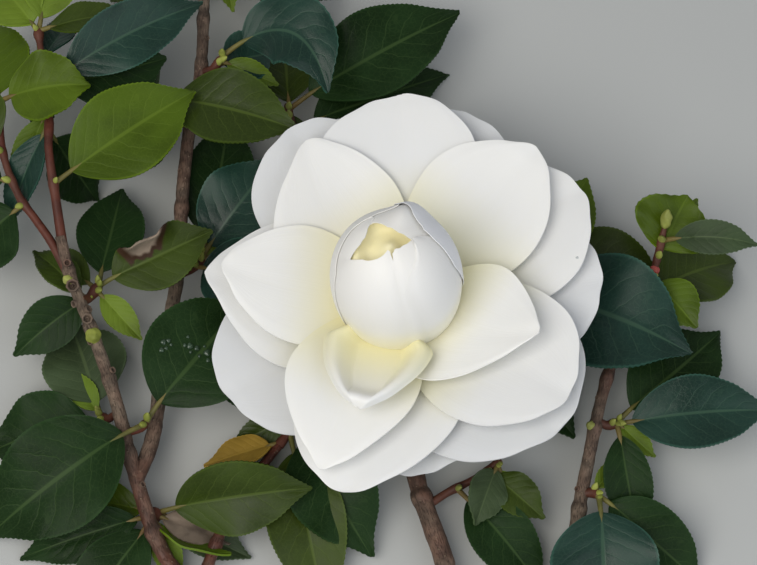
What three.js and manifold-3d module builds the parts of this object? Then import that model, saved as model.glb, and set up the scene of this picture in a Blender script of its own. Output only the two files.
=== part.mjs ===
// A cut flowering camellia branch: one large white formal-double bloom with its bud-like heart,
// on a forking woody stem with glossy serrate leaves. It lies on a level surface, bloom upward.
// Millimetres, +Z up. The work is laid out about the bloom's seat, then moved to the part's origin.
import * as THREE from "three";
import { mergeVertices } from "three/addons/utils/BufferGeometryUtils.js";
import Module from "manifold-3d";

const wasm = await Module();
wasm.setup();

const GAP = 0.3; // clearance between neighbouring pieces
const ORIGIN = [-14.5, -3.4, 0]; // middle of the branch's footprint, seen from the bloom's seat
const SEED = 20;

// Bloom
const SEAT_HEIGHT = 28; // the receptacle above the surface
const LEAN_BACK = 6; // degrees
const LEAN_LEFT = 5;
const PETAL_THICKNESS = 0.9;
const PETAL_ROOT = 4; // radius of the receptacle, where petals start
const BUD_RADIUS = 19;
const BUD_HEIGHT = 46;
const BUD_MIDDLE = 21;
const CUP_DEPTH = 7; // of the opening at the bud's tip

// Leaves
const BLADE_THICKNESS = 0.9;
const STALK_RADIUS = 0.9;
const STALK_SHARE = 0.13; // of a leaf's length
const FOLD = 0.22; // rise of the margins for each millimetre of half-width

const UP = new THREE.Vector3(0, 0, 1);
const rad = THREE.MathUtils.degToRad;

let state = SEED;
function random(low, high) {
  state = (state * 1664525 + 1013904223) % 4294967296;
  return low + (high - low) * (state / 4294967296);
}

// A closed solid through rings that hold the same number of points, with both ends capped.
// The two halves of a ring split their quads in opposite ways, which keeps a thin blade's upper
// and lower faces parallel.
function loft(rings) {
  const n = rings[0].length;
  const last = rings.length - 1;
  const position = rings.flat().flatMap((p) => [p.x, p.y, p.z]);
  const index = [];
  for (let i = 0; i < last; i++)
    for (let j = 0; j < n; j++) {
      const a = i * n + j;
      const b = i * n + ((j + 1) % n);
      if (j < n / 2) index.push(a, b, b + n, a, b + n, a + n);
      else index.push(a, b, a + n, b, b + n, a + n);
    }
  for (let j = 1; j < n - 1; j++) {
    index.push(0, j + 1, j);
    index.push(last * n, last * n + j, last * n + j + 1);
  }
  const geometry = new THREE.BufferGeometry();
  geometry.setAttribute("position", new THREE.Float32BufferAttribute(position, 3));
  geometry.setIndex(index);
  return solid(geometry);
}

function solid(geometry) {
  const merged = mergeVertices(geometry, 1e-3);
  const made = new wasm.Manifold(
    new wasm.Mesh({
      numProp: 3,
      vertProperties: new Float32Array(merged.attributes.position.array),
      triVerts: new Uint32Array(merged.index.array),
    }),
  );
  return made;
}

// The largest body of a solid, with any hollow that fusing sealed filled in.
function whole(body) {
  const bodies = body.decompose();
  return bodies.reduce((a, b) => (b.volume() > a.volume() ? b : a));
}

function touches(body, others) {
  return others.some((other) => body.intersect(other).volume() > 1e-4);
}

// A tapering limb along a smooth curve through named points. grow thickens it all round.
function limb({ route, radii, sides = 7, steps = 24 }, grow = 0) {
  const curve = new THREE.CatmullRomCurve3(
    route.map((p) => new THREE.Vector3(...p)),
    false,
    "catmullrom",
    0.5,
  );
  const frames = curve.computeFrenetFrames(steps, false);
  const rings = [];
  for (let i = 0; i <= steps; i++) {
    const centre = curve.getPointAt(i / steps);
    const r = THREE.MathUtils.lerp(radii[0], radii[1], i / steps) + grow;
    if (i === 0) centre.addScaledVector(frames.tangents[0], -grow);
    if (i === steps) centre.addScaledVector(frames.tangents[steps], grow);
    rings.push(
      Array.from({ length: sides }, (_, j) => {
        const a = (j / sides) * 2 * Math.PI;
        return centre
          .clone()
          .addScaledVector(frames.normals[i], r * Math.cos(a))
          .addScaledVector(frames.binormals[i], r * Math.sin(a));
      }),
    );
  }
  return { curve, body: loft(rings) };
}

// Half-width of a leaf blade at share v of its length, as a share of the widest half-width.
function bladeShape(v) {
  return Math.sin(Math.PI * Math.min(1, v) ** 0.82) ** 0.85;
}

// A stalked leaf from root to tip. arch lifts the middle of its midrib by a share of its length,
// roll turns the blade about the midrib in degrees, sweep bows the midrib sideways by a share of
// its length, and grow thickens it all round.
function leaf(root, tip, { width, arch = 0.06, roll = 0, sweep = 0 }, grow = 0) {
  const along = tip.clone().sub(root);
  const length = along.length();
  const across = new THREE.Vector3().crossVectors(UP, along).normalize();
  const rings = [0, STALK_SHARE, 0.28, 0.48, 0.68, 0.87, 1].map((share, i) => {
    const centre = root.clone().lerp(tip, share);
    const bow = length * 4 * share * (1 - share);
    const turn = length * 4 * (1 - 2 * share);
    centre.addScaledVector(UP, arch * bow).addScaledVector(across, sweep * bow);
    const forward = along.clone();
    forward.addScaledVector(UP, arch * turn).addScaledVector(across, sweep * turn).normalize();
    const side = new THREE.Vector3().crossVectors(UP, forward).normalize();
    side.applyAxisAngle(forward, rad(roll));
    const normal = new THREE.Vector3().crossVectors(forward, side).normalize();
    const blade = bladeShape((share - STALK_SHARE) / (1 - STALK_SHARE)) || 0;
    const half = Math.max(i < 2 ? STALK_RADIUS : 0.4, (width / 2) * blade) + grow;
    const thick = (i < 2 ? STALK_RADIUS : BLADE_THICKNESS / 2) + grow;
    const point = (t, lift) =>
      centre
        .clone()
        .addScaledVector(side, t * half)
        .addScaledVector(normal, FOLD * Math.abs(t) * (width / 2) * blade + lift);
    return [point(-1, 0), point(0, -thick), point(1, 0), point(0, thick)];
  });
  return loft(rings);
}

// Height of a petal's surface over the receptacle at a distance from the bloom's axis.
// Petals nest as bowls: depth 0 is the innermost, depth 1 the outermost and flattest.
function bowl(distance, depth) {
  const out = Math.max(0, distance - PETAL_ROOT);
  return -7 * depth + (16 - 9 * depth) * (1 - Math.exp(-out / 18)) + (0.12 - 0.06 * depth) * out;
}

// Petals, from the heart outward: where each points (degrees), how far it reaches, its width,
// its depth among the bowls, how pointed it is, and the lift of its tip and of its margins.
const PETALS = [
  [256, 45, 30, 0.0, 0.7, 2, 5],
  [-24, 45, 38, 0.09, 0.4, 3, 1],
  [249, 62, 41, 0.18, 0.5, -3, 0],
  [173, 51, 38, 0.21, 0.3, 0, 0],
  [120, 54, 42, 0.29, 0.3, 0, 0],
  [46, 60, 45, 0.36, 0.2, 0, 0],
  [-36, 61, 44, 0.41, 0.2, 0, 0],
  [87, 62, 48, 0.47, 0.0, 0, 0],
  [259, 65, 46, 0.5, 0.2, -2, 0],
  [188, 55, 44, 0.56, 0.3, 0, 0],
  [30, 63, 48, 0.6, 0.1, 0, 0],
  [137, 59, 46, 0.67, 0.1, 1, 0],
  [110, 61, 44, 0.75, 0.1, 0, 0],
  [70, 61, 44, 0.79, 0.1, 0, 0],
  [-58, 62, 46, 0.76, 0.1, 0, 0],
  [-4, 60, 42, 0.81, 0.1, 0, 0],
  [211, 57, 46, 0.87, 0.1, 0, 0],
  [-82, 56, 40, 0.95, 0.1, 0, 0],
];

function petal([azimuth, reach, width, depth, point, tipLift, rimLift]) {
  const widest = 0.6;
  const turn = new THREE.Vector3(Math.cos(rad(azimuth)), Math.sin(rad(azimuth)), 0);
  const side = new THREE.Vector3(-turn.y, turn.x, 0);
  const rings = [0, 0.2, 0.42, 0.64, 0.84, 0.95, 1].map((share) => {
    const past = Math.max(0, (share - widest) / (1 - widest));
    const near = Math.min(1, share / widest);
    const half =
      (width / 2) *
      (0.22 + 0.78 * Math.sin((Math.PI / 2) * near)) *
      Math.max(0.07, (1 - past ** (2.2 - 0.5 * point)) ** (0.5 + 0.35 * point));
    const point3 = (t, lift) => {
      const p = turn.clone().multiplyScalar(share * reach).addScaledVector(side, t * half);
      const distance = p.length();
      const slope = (bowl(distance + 1, depth) - bowl(distance - 1, depth)) / 2;
      const margin = (t * half) / (width / 2);
      const rise = tipLift * share ** 4 + 2 * rimLift * margin ** 2 * Math.max(0, share - 0.35);
      const normal = p.clone().setLength(distance > 1 ? -slope : 0).setZ(1).normalize();
      p.z = bowl(distance, depth) + rise;
      return p.addScaledVector(normal, lift);
    };
    const thin = PETAL_THICKNESS / 2;
    return [
      point3(-1, 0),
      point3(-0.4, -thin),
      point3(0.4, -thin),
      point3(1, 0),
      point3(0.4, thin),
      point3(-0.4, thin),
    ];
  });
  return loft(rings);
}

function ring(radius, height, sides, ripple = () => [0, 0]) {
  return Array.from({ length: sides }, (_, j) => {
    const a = (j / sides) * 2 * Math.PI;
    const [out, up] = ripple(a);
    return new THREE.Vector3(
      (radius + out) * Math.cos(a),
      (radius + out) * Math.sin(a),
      height + up,
    );
  });
}

// The closed heart sits in the innermost bowl, and its tip opens in a shallow cup.
function heart(grow = 0) {
  const side = 20;
  const floor = PETAL_THICKNESS / 2 + 2 * GAP - grow;
  const under = [2, 7, 12, 16].map((r) => ring(r + grow, bowl(r, 0) + floor, side));
  const rise = BUD_HEIGHT - BUD_MIDDLE;
  const wall = [-0.3, 0, 0.3, 0.55, 0.75, 0.88].map((share) =>
    ring(
      grow + BUD_RADIUS * Math.sqrt(1 - Math.abs(share) ** 2.3),
      BUD_MIDDLE + share * rise,
      side,
    ),
  );
  const crest = (a) => [0, 2 * Math.cos(a - rad(70))];
  const cup = [
    ring(9 + grow, BUD_HEIGHT - 1.5, side, crest),
    ring(7.5, BUD_HEIGHT - 1 + grow, side, crest),
    ring(6.5, BUD_HEIGHT - CUP_DEPTH, side),
    ring(2.5, BUD_HEIGHT - CUP_DEPTH + 1.5, side),
  ];
  return loft([...under, ...wall, ...cup]);
}

function bloom() {
  const core = loft([ring(2, -9, 16), ring(7, -8.2, 16), ring(7.5, 0, 16), ring(3, 1.2, 16)]);
  const fused = PETALS.reduce((body, row) => body.add(petal(row)), core);
  const petals = whole(fused.subtract(heart(GAP)));

  // Overlapping bud scales under the petals, with a short neck for the stem.
  const calyx = loft([
    ring(2, -19, 16),
    ring(3, -18, 16),
    ring(6.5, -14.5, 16),
    ring(9.5, -11, 16, (a) => [0.8 * Math.cos(5 * a), 0]),
    ring(10.5, -9.5 - GAP, 16, (a) => [0.8 * Math.cos(5 * a), 0]),
    ring(2, -9.6 - GAP, 16),
  ]);
  return { petals, heart: heart(), calyx };
}

// Woody limbs: routes about the bloom's seat, height above the surface last.
const LIMBS = {
  main_stem: {
    route: [
      [20, -155, 4],
      [20, -128, 4],
      [19, -98, 5.5],
      [13, -70, 6.5],
      [5, -45, 7],
      [2, -22, 5.5],
      [1.5, -9, 3.6],
      [1.6, -3.4, 6.8],
    ],
    radii: [3.9, 2.2],
    sides: 8,
    steps: 28,
  },
  left_bough: {
    route: [
      [20, -124, 4.5],
      [0, -109, 6],
      [-28, -98, 7],
      [-52, -85, 8],
      [-67, -70, 10],
      [-76, -48, 13],
      [-82, -25, 17],
      [-88, -9, 20],
      [-96, 10, 24],
      [-99, 22, 28],
    ],
    radii: [2.9, 1.6],
    steps: 26,
  },
  upright_bough: {
    route: [
      [-76, -48, 13],
      [-72, -34, 10],
      [-69, -7, 9],
      [-66, 17, 11],
      [-65, 36, 13],
      [-63, 61, 16],
      [-60, 81, 19],
      [-59, 103, 21],
      [-58, 112, 22],
    ],
    radii: [2.3, 1.7],
    steps: 18,
  },
  low_twig: {
    route: [
      [-58, -81, 8],
      [-54, -69, 9],
      [-50, -59, 9.5],
      [-44, -49, 9],
      [-34, -34, 8],
    ],
    radii: [1.9, 1.4],
    steps: 10,
  },
  right_bough: {
    route: [
      [19, -96, 5.5],
      [37, -83, 7],
      [49, -69, 8],
      [53, -50, 10],
      [56, -36, 12],
      [60, -21, 14],
      [66, -3, 17],
    ],
    radii: [2.4, 1.6],
    steps: 16,
  },
};
const GROWS_FROM = {
  left_bough: "main_stem",
  upright_bough: "left_bough",
  low_twig: "left_bough",
  right_bough: "main_stem",
};

// Foliage: each mass has one stem, that starts in the limb it grows from, and its leaves.
// A leaf says where it leaves the stem (share), where its tip lies, its width, its arch, and
// where it has them its roll and sweep. The tips near the surface hold the branch up.
const MASSES = {
  upper_left_foliage: {
    from: "left_bough",
    stem: [
      [-98.5, 20, 27.3],
      [-101, 35, 31],
      [-103, 47, 33],
      [-103.5, 59, 33],
      [-106, 75, 33],
      [-108, 87, 33],
    ],
    radii: [1.5, 0.9],
    leaves: [
      [0.26, [-61, 68, 29], 27, 0.05, 10],
      [0.72, [-59, 96, 31], 19, 0.1, 25],
      [0.7, [-70, 81, 24], 26, 0.03],
      [0.98, [-122, 104, 30], 19, 0.1],
      [0.98, [-102, 116, 33], 18, 0.08, 20],
      [0.5, [-92, 44, 0.8], 20, 0.05],
    ],
  },
  far_left_foliage: {
    from: "left_bough",
    stem: [
      [-96.5, 11, 24.3],
      [-102, 21, 26],
      [-107, 28, 27],
      [-112, 35, 28],
      [-117, 48, 29],
      [-119, 66, 30],
    ],
    radii: [1.4, 0.9],
    leaves: [
      [0.97, [-91, 66, 38], 22, 0.16],
      [0.42, [-131, 17, 18], 24, 0.05],
      [0.7, [-136, 68, 27], 22, 0.08],
      [0.55, [-138, 42, 22], 20, 0.05],
      [0.95, [-124, 95, 20], 22, 0.06],
    ],
  },
  left_fork_foliage: {
    from: "left_bough",
    stem: [
      [-93, 4, 23],
      [-91, 6, 19],
      [-88, 11, 17.5],
    ],
    radii: [1.3, 1],
    leaves: [
      [0.9, [-55, 26, 22], 20, 0.07, 10],
      [0.6, [-113, -10, 13], 15, 0.06, -20],
      [0.9, [-84, 46, 5], 20, 0.05],
    ],
  },
  left_middle_foliage: {
    from: "left_bough",
    stem: [
      [-79, -34, 15.3],
      [-75, -33, 15.5],
      [-73, -31, 17.5],
    ],
    radii: [1.3, 1],
    leaves: [
      [0.95, [-45, 6, 16], 32, 0.1, 8],
      [0.8, [-120, -63, 4], 32, 0.16, -8],
    ],
  },
  left_outer_foliage: {
    from: "left_bough",
    stem: [
      [-81, -28, 16.5],
      [-85, -29, 12],
      [-88, -27, 10],
    ],
    radii: [1.3, 1],
    leaves: [
      [0.9, [-98, 3, 6], 25, 0.04],
      [0.7, [-121, -36, 0.9], 24, 0.08],
    ],
  },
  low_left_foliage: {
    from: "left_bough",
    stem: [
      [-72, -59, 11.5],
      [-71, -57, 8],
      [-70, -55, 6],
    ],
    radii: [1.3, 1],
    leaves: [
      [0.8, [-25, -51, 16], 22, 0.12, 12],
      [0.6, [-110, -68, 0.9], 15, 0.1, -15],
      [0.9, [-43, -68, 1.5], 12, 0.02],
      [0.7, [-94, -94, 0.8], 20, 0.08],
    ],
  },
  low_centre_foliage: {
    from: "low_twig",
    stem: [
      [-35, -36, 8],
      [-29, -27, 8],
      [-23, -18, 8],
    ],
    radii: [1.3, 0.9],
    leaves: [
      [0.35, [-8, -68, 3], 26, 0.12],
      [0.25, [-21, -84, 0.8], 23, 0.08],
      [0.6, [-58, -6, 9], 22, 0.08],
      [0.95, [-42, 12, 8], 24, 0.08],
    ],
  },
  inner_left_foliage: {
    from: "upright_bough",
    stem: [
      [-66, 16, 11],
      [-62, 19, 8],
      [-58, 24, 7],
    ],
    radii: [1.3, 1],
    leaves: [
      [0.8, [-37, 52, 14], 24, 0.1],
      [0.6, [-40, 12, 14], 22, 0.08],
      [0.95, [-52, 70, 4], 22, 0.06],
    ],
  },
  upper_inner_foliage: {
    from: "upright_bough",
    stem: [
      [-63, 62, 16],
      [-69, 65, 18],
      [-73, 70, 21],
    ],
    radii: [1.3, 1],
    leaves: [
      [0.95, [-30, 57, 25], 24, 0.1],
      [0.7, [-96, 90, 14], 24, 0.08],
      [0.5, [-86, 52, 9], 20, 0.08],
    ],
  },
  top_arch_foliage: {
    from: "upright_bough",
    stem: [
      [-60, 79, 18.7],
      [-56, 79, 21],
      [-53, 82, 24],
    ],
    radii: [1.3, 1],
    leaves: [
      [0.95, [-21, 68, 28], 24, 0.2, 0, 0.34],
      [0.6, [-38, 86, 17], 17, 0.08],
    ],
  },
  top_foliage: {
    from: "upright_bough",
    stem: [
      [-58.4, 108, 21.5],
      [-57, 118, 22],
      [-55, 124, 21],
    ],
    radii: [1.5, 1],
    leaves: [
      [0.6, [-20, 108, 10], 24, 0.12],
      [0.8, [-90, 112, 0.9], 24, 0.12],
      [0.95, [-36, 144, 6], 24, 0.1],
      [0.98, [-74, 148, 10], 22, 0.1],
    ],
  },
  back_left_foliage: {
    from: "main_stem",
    stem: [
      [2.5, -28, 5.8],
      [-9, -6, 3],
      [-21, 25, 6],
      [-29, 53, 9],
      [-34, 72, 11],
    ],
    radii: [1.5, 1],
    leaves: [
      [0.98, [19, 100, 16], 28, 0.1],
      [0.62, [24, 66, 8], 28, 0.08],
      [0.95, [-38, 112, 0.9], 25, 0.08],
      [0.5, [-48, 50, 2], 20, 0.06],
    ],
  },
  back_right_foliage: {
    from: "main_stem",
    stem: [
      [3, -30, 6],
      [16, -11, 3.5],
      [32, 10, 7],
      [42, 24, 8],
    ],
    radii: [1.5, 1],
    leaves: [
      [0.8, [85, -12, 21], 36, 0.15],
      [0.95, [81, 14, 8], 28, 0.06],
      [0.95, [57, 46, 14], 20, 0.06],
      [0.55, [52, -32, 3], 22, 0.06],
    ],
  },
  right_foliage: {
    from: "right_bough",
    stem: [
      [58, -30, 13],
      [61, -31, 12],
      [64, -30, 13],
    ],
    radii: [1.3, 1],
    leaves: [
      [0.6, [109, -27, 14], 22, 0.08],
      [0.9, [70, -64, 2], 14, 0.1],
      [0.95, [96, 0, 5], 24, 0.08],
    ],
  },
  right_sprig_foliage: {
    from: "right_bough",
    stem: [
      [65.5, -4.5, 16.8],
      [72, 5, 17],
      [75.5, 15, 23],
      [78, 25, 31],
    ],
    radii: [1.4, 0.8],
    leaves: [
      [0.7, [85, 34, 30], 25, 0.05, 15],
      [0.85, [104, 17, 34], 10, 0.16, 20],
      [0.55, [87, -4, 21], 14, 0.05],
      [0.4, [102, 24, 0.9], 22, 0.1],
    ],
  },
  low_right_foliage: {
    from: "right_bough",
    stem: [
      [53, -51, 10],
      [56.5, -51, 11],
      [58, -53, 13],
    ],
    radii: [1.3, 1],
    leaves: [
      [0.9, [60, -92, 1.5], 31, 0.16],
      [0.6, [88, -76, 0.9], 20, 0.1],
    ],
  },
  low_front_foliage: {
    from: "main_stem",
    stem: [
      [8, -54, 6.8],
      [14, -50, 7],
      [22, -46, 8],
      [30, -41, 10],
    ],
    radii: [1.3, 0.9],
    leaves: [
      [0.95, [22, -61, 12], 12, 0.1, -25],
      [0.8, [42, -58, 8], 12, 0.08],
      [0.4, [42, -78, 0.9], 18, 0.12],
    ],
  },
};
const YOUNG_LENGTH = [14, 22]; // of the small extra leaves along each stem
const YOUNG_LEAVES = 1; // tried on each stem, and left out where they would touch

const MATERIALS = {
  bark: { color: 0x5a3a2a, roughness: 0.75, metalness: 0 },
  leaf: { color: 0x1f3d22, roughness: 0.35, metalness: 0 },
  young: { color: 0x4f7a1e, roughness: 0.4, metalness: 0 },
  petal: { color: 0xf6f4ea, roughness: 0.55, metalness: 0 },
  scale: { color: 0x7c8f3c, roughness: 0.5, metalness: 0 },
};

const part = new THREE.Group();
const placed = new THREE.Group();
placed.position.set(-ORIGIN[0], -ORIGIN[1], -ORIGIN[2]);
part.add(placed);

function show(name, body, look) {
  const { vertProperties, triVerts, numProp } = body.getMesh();
  const position = [];
  for (let i = 0; i < vertProperties.length; i += numProp)
    position.push(vertProperties[i], vertProperties[i + 1], vertProperties[i + 2]);
  const geometry = new THREE.BufferGeometry();
  geometry.setAttribute("position", new THREE.Float32BufferAttribute(position, 3));
  geometry.setIndex([...triVerts]);
  const mesh = new THREE.Mesh(geometry, new THREE.MeshStandardMaterial(MATERIALS[look]));
  mesh.name = name;
  placed.add(mesh);
}

// The bloom stands on its seat, leaning back and to the left.
const lean = new THREE.Matrix4()
  .makeTranslation(0, 0, SEAT_HEIGHT)
  .multiply(new THREE.Matrix4().makeRotationY(rad(-LEAN_LEFT)))
  .multiply(new THREE.Matrix4().makeRotationX(rad(-LEAN_BACK)));
const flower = bloom();
const taken = [];
for (const [name, body, look] of [
  ["bloom_petals", flower.petals, "petal"],
  ["bloom_heart", flower.heart, "petal"],
  ["bloom_calyx", flower.calyx, "scale"],
]) {
  const stood = body.transform(lean.elements);
  taken.push(stood);
  show(name, stood, look);
}

// Each limb is cut back to stand clear of the one it grows from.
const grown = {};
for (const [name, spec] of Object.entries(LIMBS)) {
  grown[name] = limb(spec, GAP).body;
  const parent = GROWS_FROM[name];
  const own = limb(spec).body;
  const body = parent ? whole(own.subtract(grown[parent])) : own;
  taken.push(body);
  show(name, body, "bark");
}

// All the stems of the foliage are placed before the first leaf, so that no leaf meets one.
const stems = Object.entries(MASSES).map(([name, { from, stem, radii, leaves }]) => {
  const { curve, body } = limb({ route: stem, radii, sides: 5, steps: 2 * stem.length - 1 });
  return { name, leaves, curve, body: whole(body.subtract(grown[from])) };
});
for (const mass of stems) {
  const others = [...taken, ...stems.filter((s) => s !== mass).map((s) => s.body)];
  const grow = (share, end, shape) => {
    const root = mass.curve.getPointAt(share);
    if (touches(leaf(root, end, shape, GAP), others)) return;
    mass.body = mass.body.add(leaf(root, end, shape));
  };
  for (const [share, tip, width, arch, roll, sweep] of mass.leaves)
    grow(share, new THREE.Vector3(...tip), { width, arch, roll, sweep });
  for (let i = 0; i < YOUNG_LEAVES; i++) {
    const share = random(0.4, 0.95);
    const length = random(...YOUNG_LENGTH);
    const heading = random(0, 2 * Math.PI);
    const end = mass.curve.getPointAt(share);
    end.x += length * Math.cos(heading);
    end.y += length * Math.sin(heading);
    end.z = Math.max(BLADE_THICKNESS, end.z - random(0, 0.4) * length);
    grow(share, end, { width: 0.42 * length });
  }
  mass.body = whole(mass.body);
  show(mass.name, mass.body, mass.name.startsWith("upper_left") ? "young" : "leaf");
}

export default part;
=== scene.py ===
"""A cut flowering camellia branch: bark, serrate leaves and one white formal-double bloom."""

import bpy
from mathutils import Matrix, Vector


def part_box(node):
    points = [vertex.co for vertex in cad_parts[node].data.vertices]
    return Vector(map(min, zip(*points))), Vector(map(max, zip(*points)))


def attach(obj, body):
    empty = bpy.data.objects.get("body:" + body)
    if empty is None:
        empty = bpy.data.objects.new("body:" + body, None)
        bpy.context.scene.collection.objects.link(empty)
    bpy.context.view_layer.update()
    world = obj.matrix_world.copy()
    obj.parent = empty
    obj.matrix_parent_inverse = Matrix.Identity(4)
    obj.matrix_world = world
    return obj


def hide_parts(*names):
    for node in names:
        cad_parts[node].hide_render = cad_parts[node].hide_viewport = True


bl_info = {
    "name": "Flowering camellia branch",
    "version": (1, 0, 0),
    "blender": (4, 5, 0),
    "location": "3D View > Sidebar > Camellia",
    "description": "Builds the limbs, foliage and white bloom of a cut camellia branch",
    "category": "Add Mesh",
}

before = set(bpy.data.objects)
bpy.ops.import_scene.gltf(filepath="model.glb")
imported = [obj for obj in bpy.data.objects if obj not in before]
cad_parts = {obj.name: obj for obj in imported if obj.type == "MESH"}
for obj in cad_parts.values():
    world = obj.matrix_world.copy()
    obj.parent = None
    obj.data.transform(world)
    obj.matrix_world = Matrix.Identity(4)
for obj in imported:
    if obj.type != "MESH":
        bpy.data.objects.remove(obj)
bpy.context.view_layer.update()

import math
import random

import bpy
import numpy as np
from bpy.props import FloatProperty, FloatVectorProperty, IntProperty, PointerProperty
from mathutils import Matrix, Vector
from mathutils.bvhtree import BVHTree

# Lengths in the tables below are millimetres about the bloom's seat in plan, with the height
# above the surface last. ORIGIN is the middle of the branch's footprint in the same measure.
ORIGIN = np.array([-14.5, -3.4, 0.0])
MM = 0.001
SEAT = (0, 0, 28)  # what the camera and the lights are set about
LEAN_BACK = 6  # degrees that the bloom leans
LEAN_LEFT = 5
STALK_SHARE = 0.13  # of a leaf's length
FOLD = 0.22  # rise of a leaf's margins for each millimetre of half-width
PETAL_ROOT = 4
ROUND = 6.28  # a full turn, near enough for the phase of a wave
BARK_STEP = 0.9  # between two rings of points along a limb
TWIG_STEP = 1  # and along a twig
BUDS_PER_TWIG = 4

YOUNG_SEED = 20
LEAF_SEED = 100  # times the number of the mass, plus the leaf's
EXTRA_SEED = 900  # plus the number of the mass
PETAL_SEED = 40  # plus the number of the petal

# The camera looks down at the seat this steeply, from this far away, and stands aside by so much
# to the right and up. Distances are in metres.
TILT = math.radians(70)
CAMERA_AWAY = 0.75
CAMERA_RIGHT = -0.0059
CAMERA_UP = 0.0071
CAMERA_LENS = 122.99

# Lights: name, place from the seat and size in metres, power in watts, tint.
LIGHTS = (
    ("key", (-0.42, -0.33, 0.85), 0.8, 6.9, (1.0, 0.965, 0.9)),
    ("fill", (0.55, -0.55, 0.62), 1.0, 2.9, (0.86, 0.92, 1.0)),
)
SKY_TINT = (0.91, 0.94, 1.0, 1)
SKY_STRENGTH = 0.36

# Woody limbs: their route, their radius at both ends, the shares of their length where the joints
# sit, and how grey the bark is from one end to the other.
LIMBS = {
    "main_stem": {
        "route": [
            (20, -155, 4),
            (20, -128, 4),
            (19, -98, 5.5),
            (13, -70, 6.5),
            (5, -45, 7),
            (2, -22, 5.5),
            (1.5, -9, 3.6),
            (1.6, -3.4, 6.8),
        ],
        "radii": (3.9, 2.2),
        "nodes": (0.24, 0.37, 0.52, 0.68, 0.83),
        "grey": (1, 0.9, 0.7, 0.55, 0.3),
    },
    "left_bough": {
        "route": [
            (20, -124, 4.5),
            (0, -109, 6),
            (-28, -98, 7),
            (-52, -85, 8),
            (-67, -70, 10),
            (-76, -48, 13),
            (-82, -25, 17),
            (-88, -9, 20),
            (-96, 10, 24),
            (-99, 22, 28),
        ],
        "radii": (2.9, 1.6),
        "nodes": (0.18, 0.34, 0.46, 0.55, 0.67, 0.78, 0.86, 0.95),
        "grey": (0.5, 0.2, 0.05, 0.05, 0.15, 0.45, 0.9, 1, 1),
    },
    "upright_bough": {
        "route": [
            (-76, -48, 13),
            (-72, -34, 10),
            (-69, -7, 9),
            (-66, 17, 11),
            (-65, 36, 13),
            (-63, 61, 16),
            (-60, 81, 19),
            (-59, 103, 21),
            (-58, 112, 22),
        ],
        "radii": (2.3, 1.7),
        "nodes": (0.22, 0.42, 0.53, 0.69, 0.81, 0.9),
        "grey": (0.5, 0.75, 0.8, 0.8, 0.8, 0.7, 0.5, 0.6, 1, 1.2),
    },
    "low_twig": {
        "route": [(-58, -81, 8), (-54, -69, 9), (-50, -59, 9.5), (-44, -49, 9), (-34, -34, 8)],
        "radii": (1.9, 1.4),
        "nodes": (0.3, 0.65),
        "grey": (0.3, 0.05),
    },
    "right_bough": {
        "route": [
            (19, -96, 5.5),
            (37, -83, 7),
            (49, -69, 8),
            (53, -50, 10),
            (56, -36, 12),
            (60, -21, 14),
            (66, -3, 17),
        ],
        "radii": (2.4, 1.6),
        "nodes": (0.25, 0.5, 0.72, 0.86),
        "grey": (0.9, 0.95, 0.95, 0.75, 0.4),
    },
}

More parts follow.
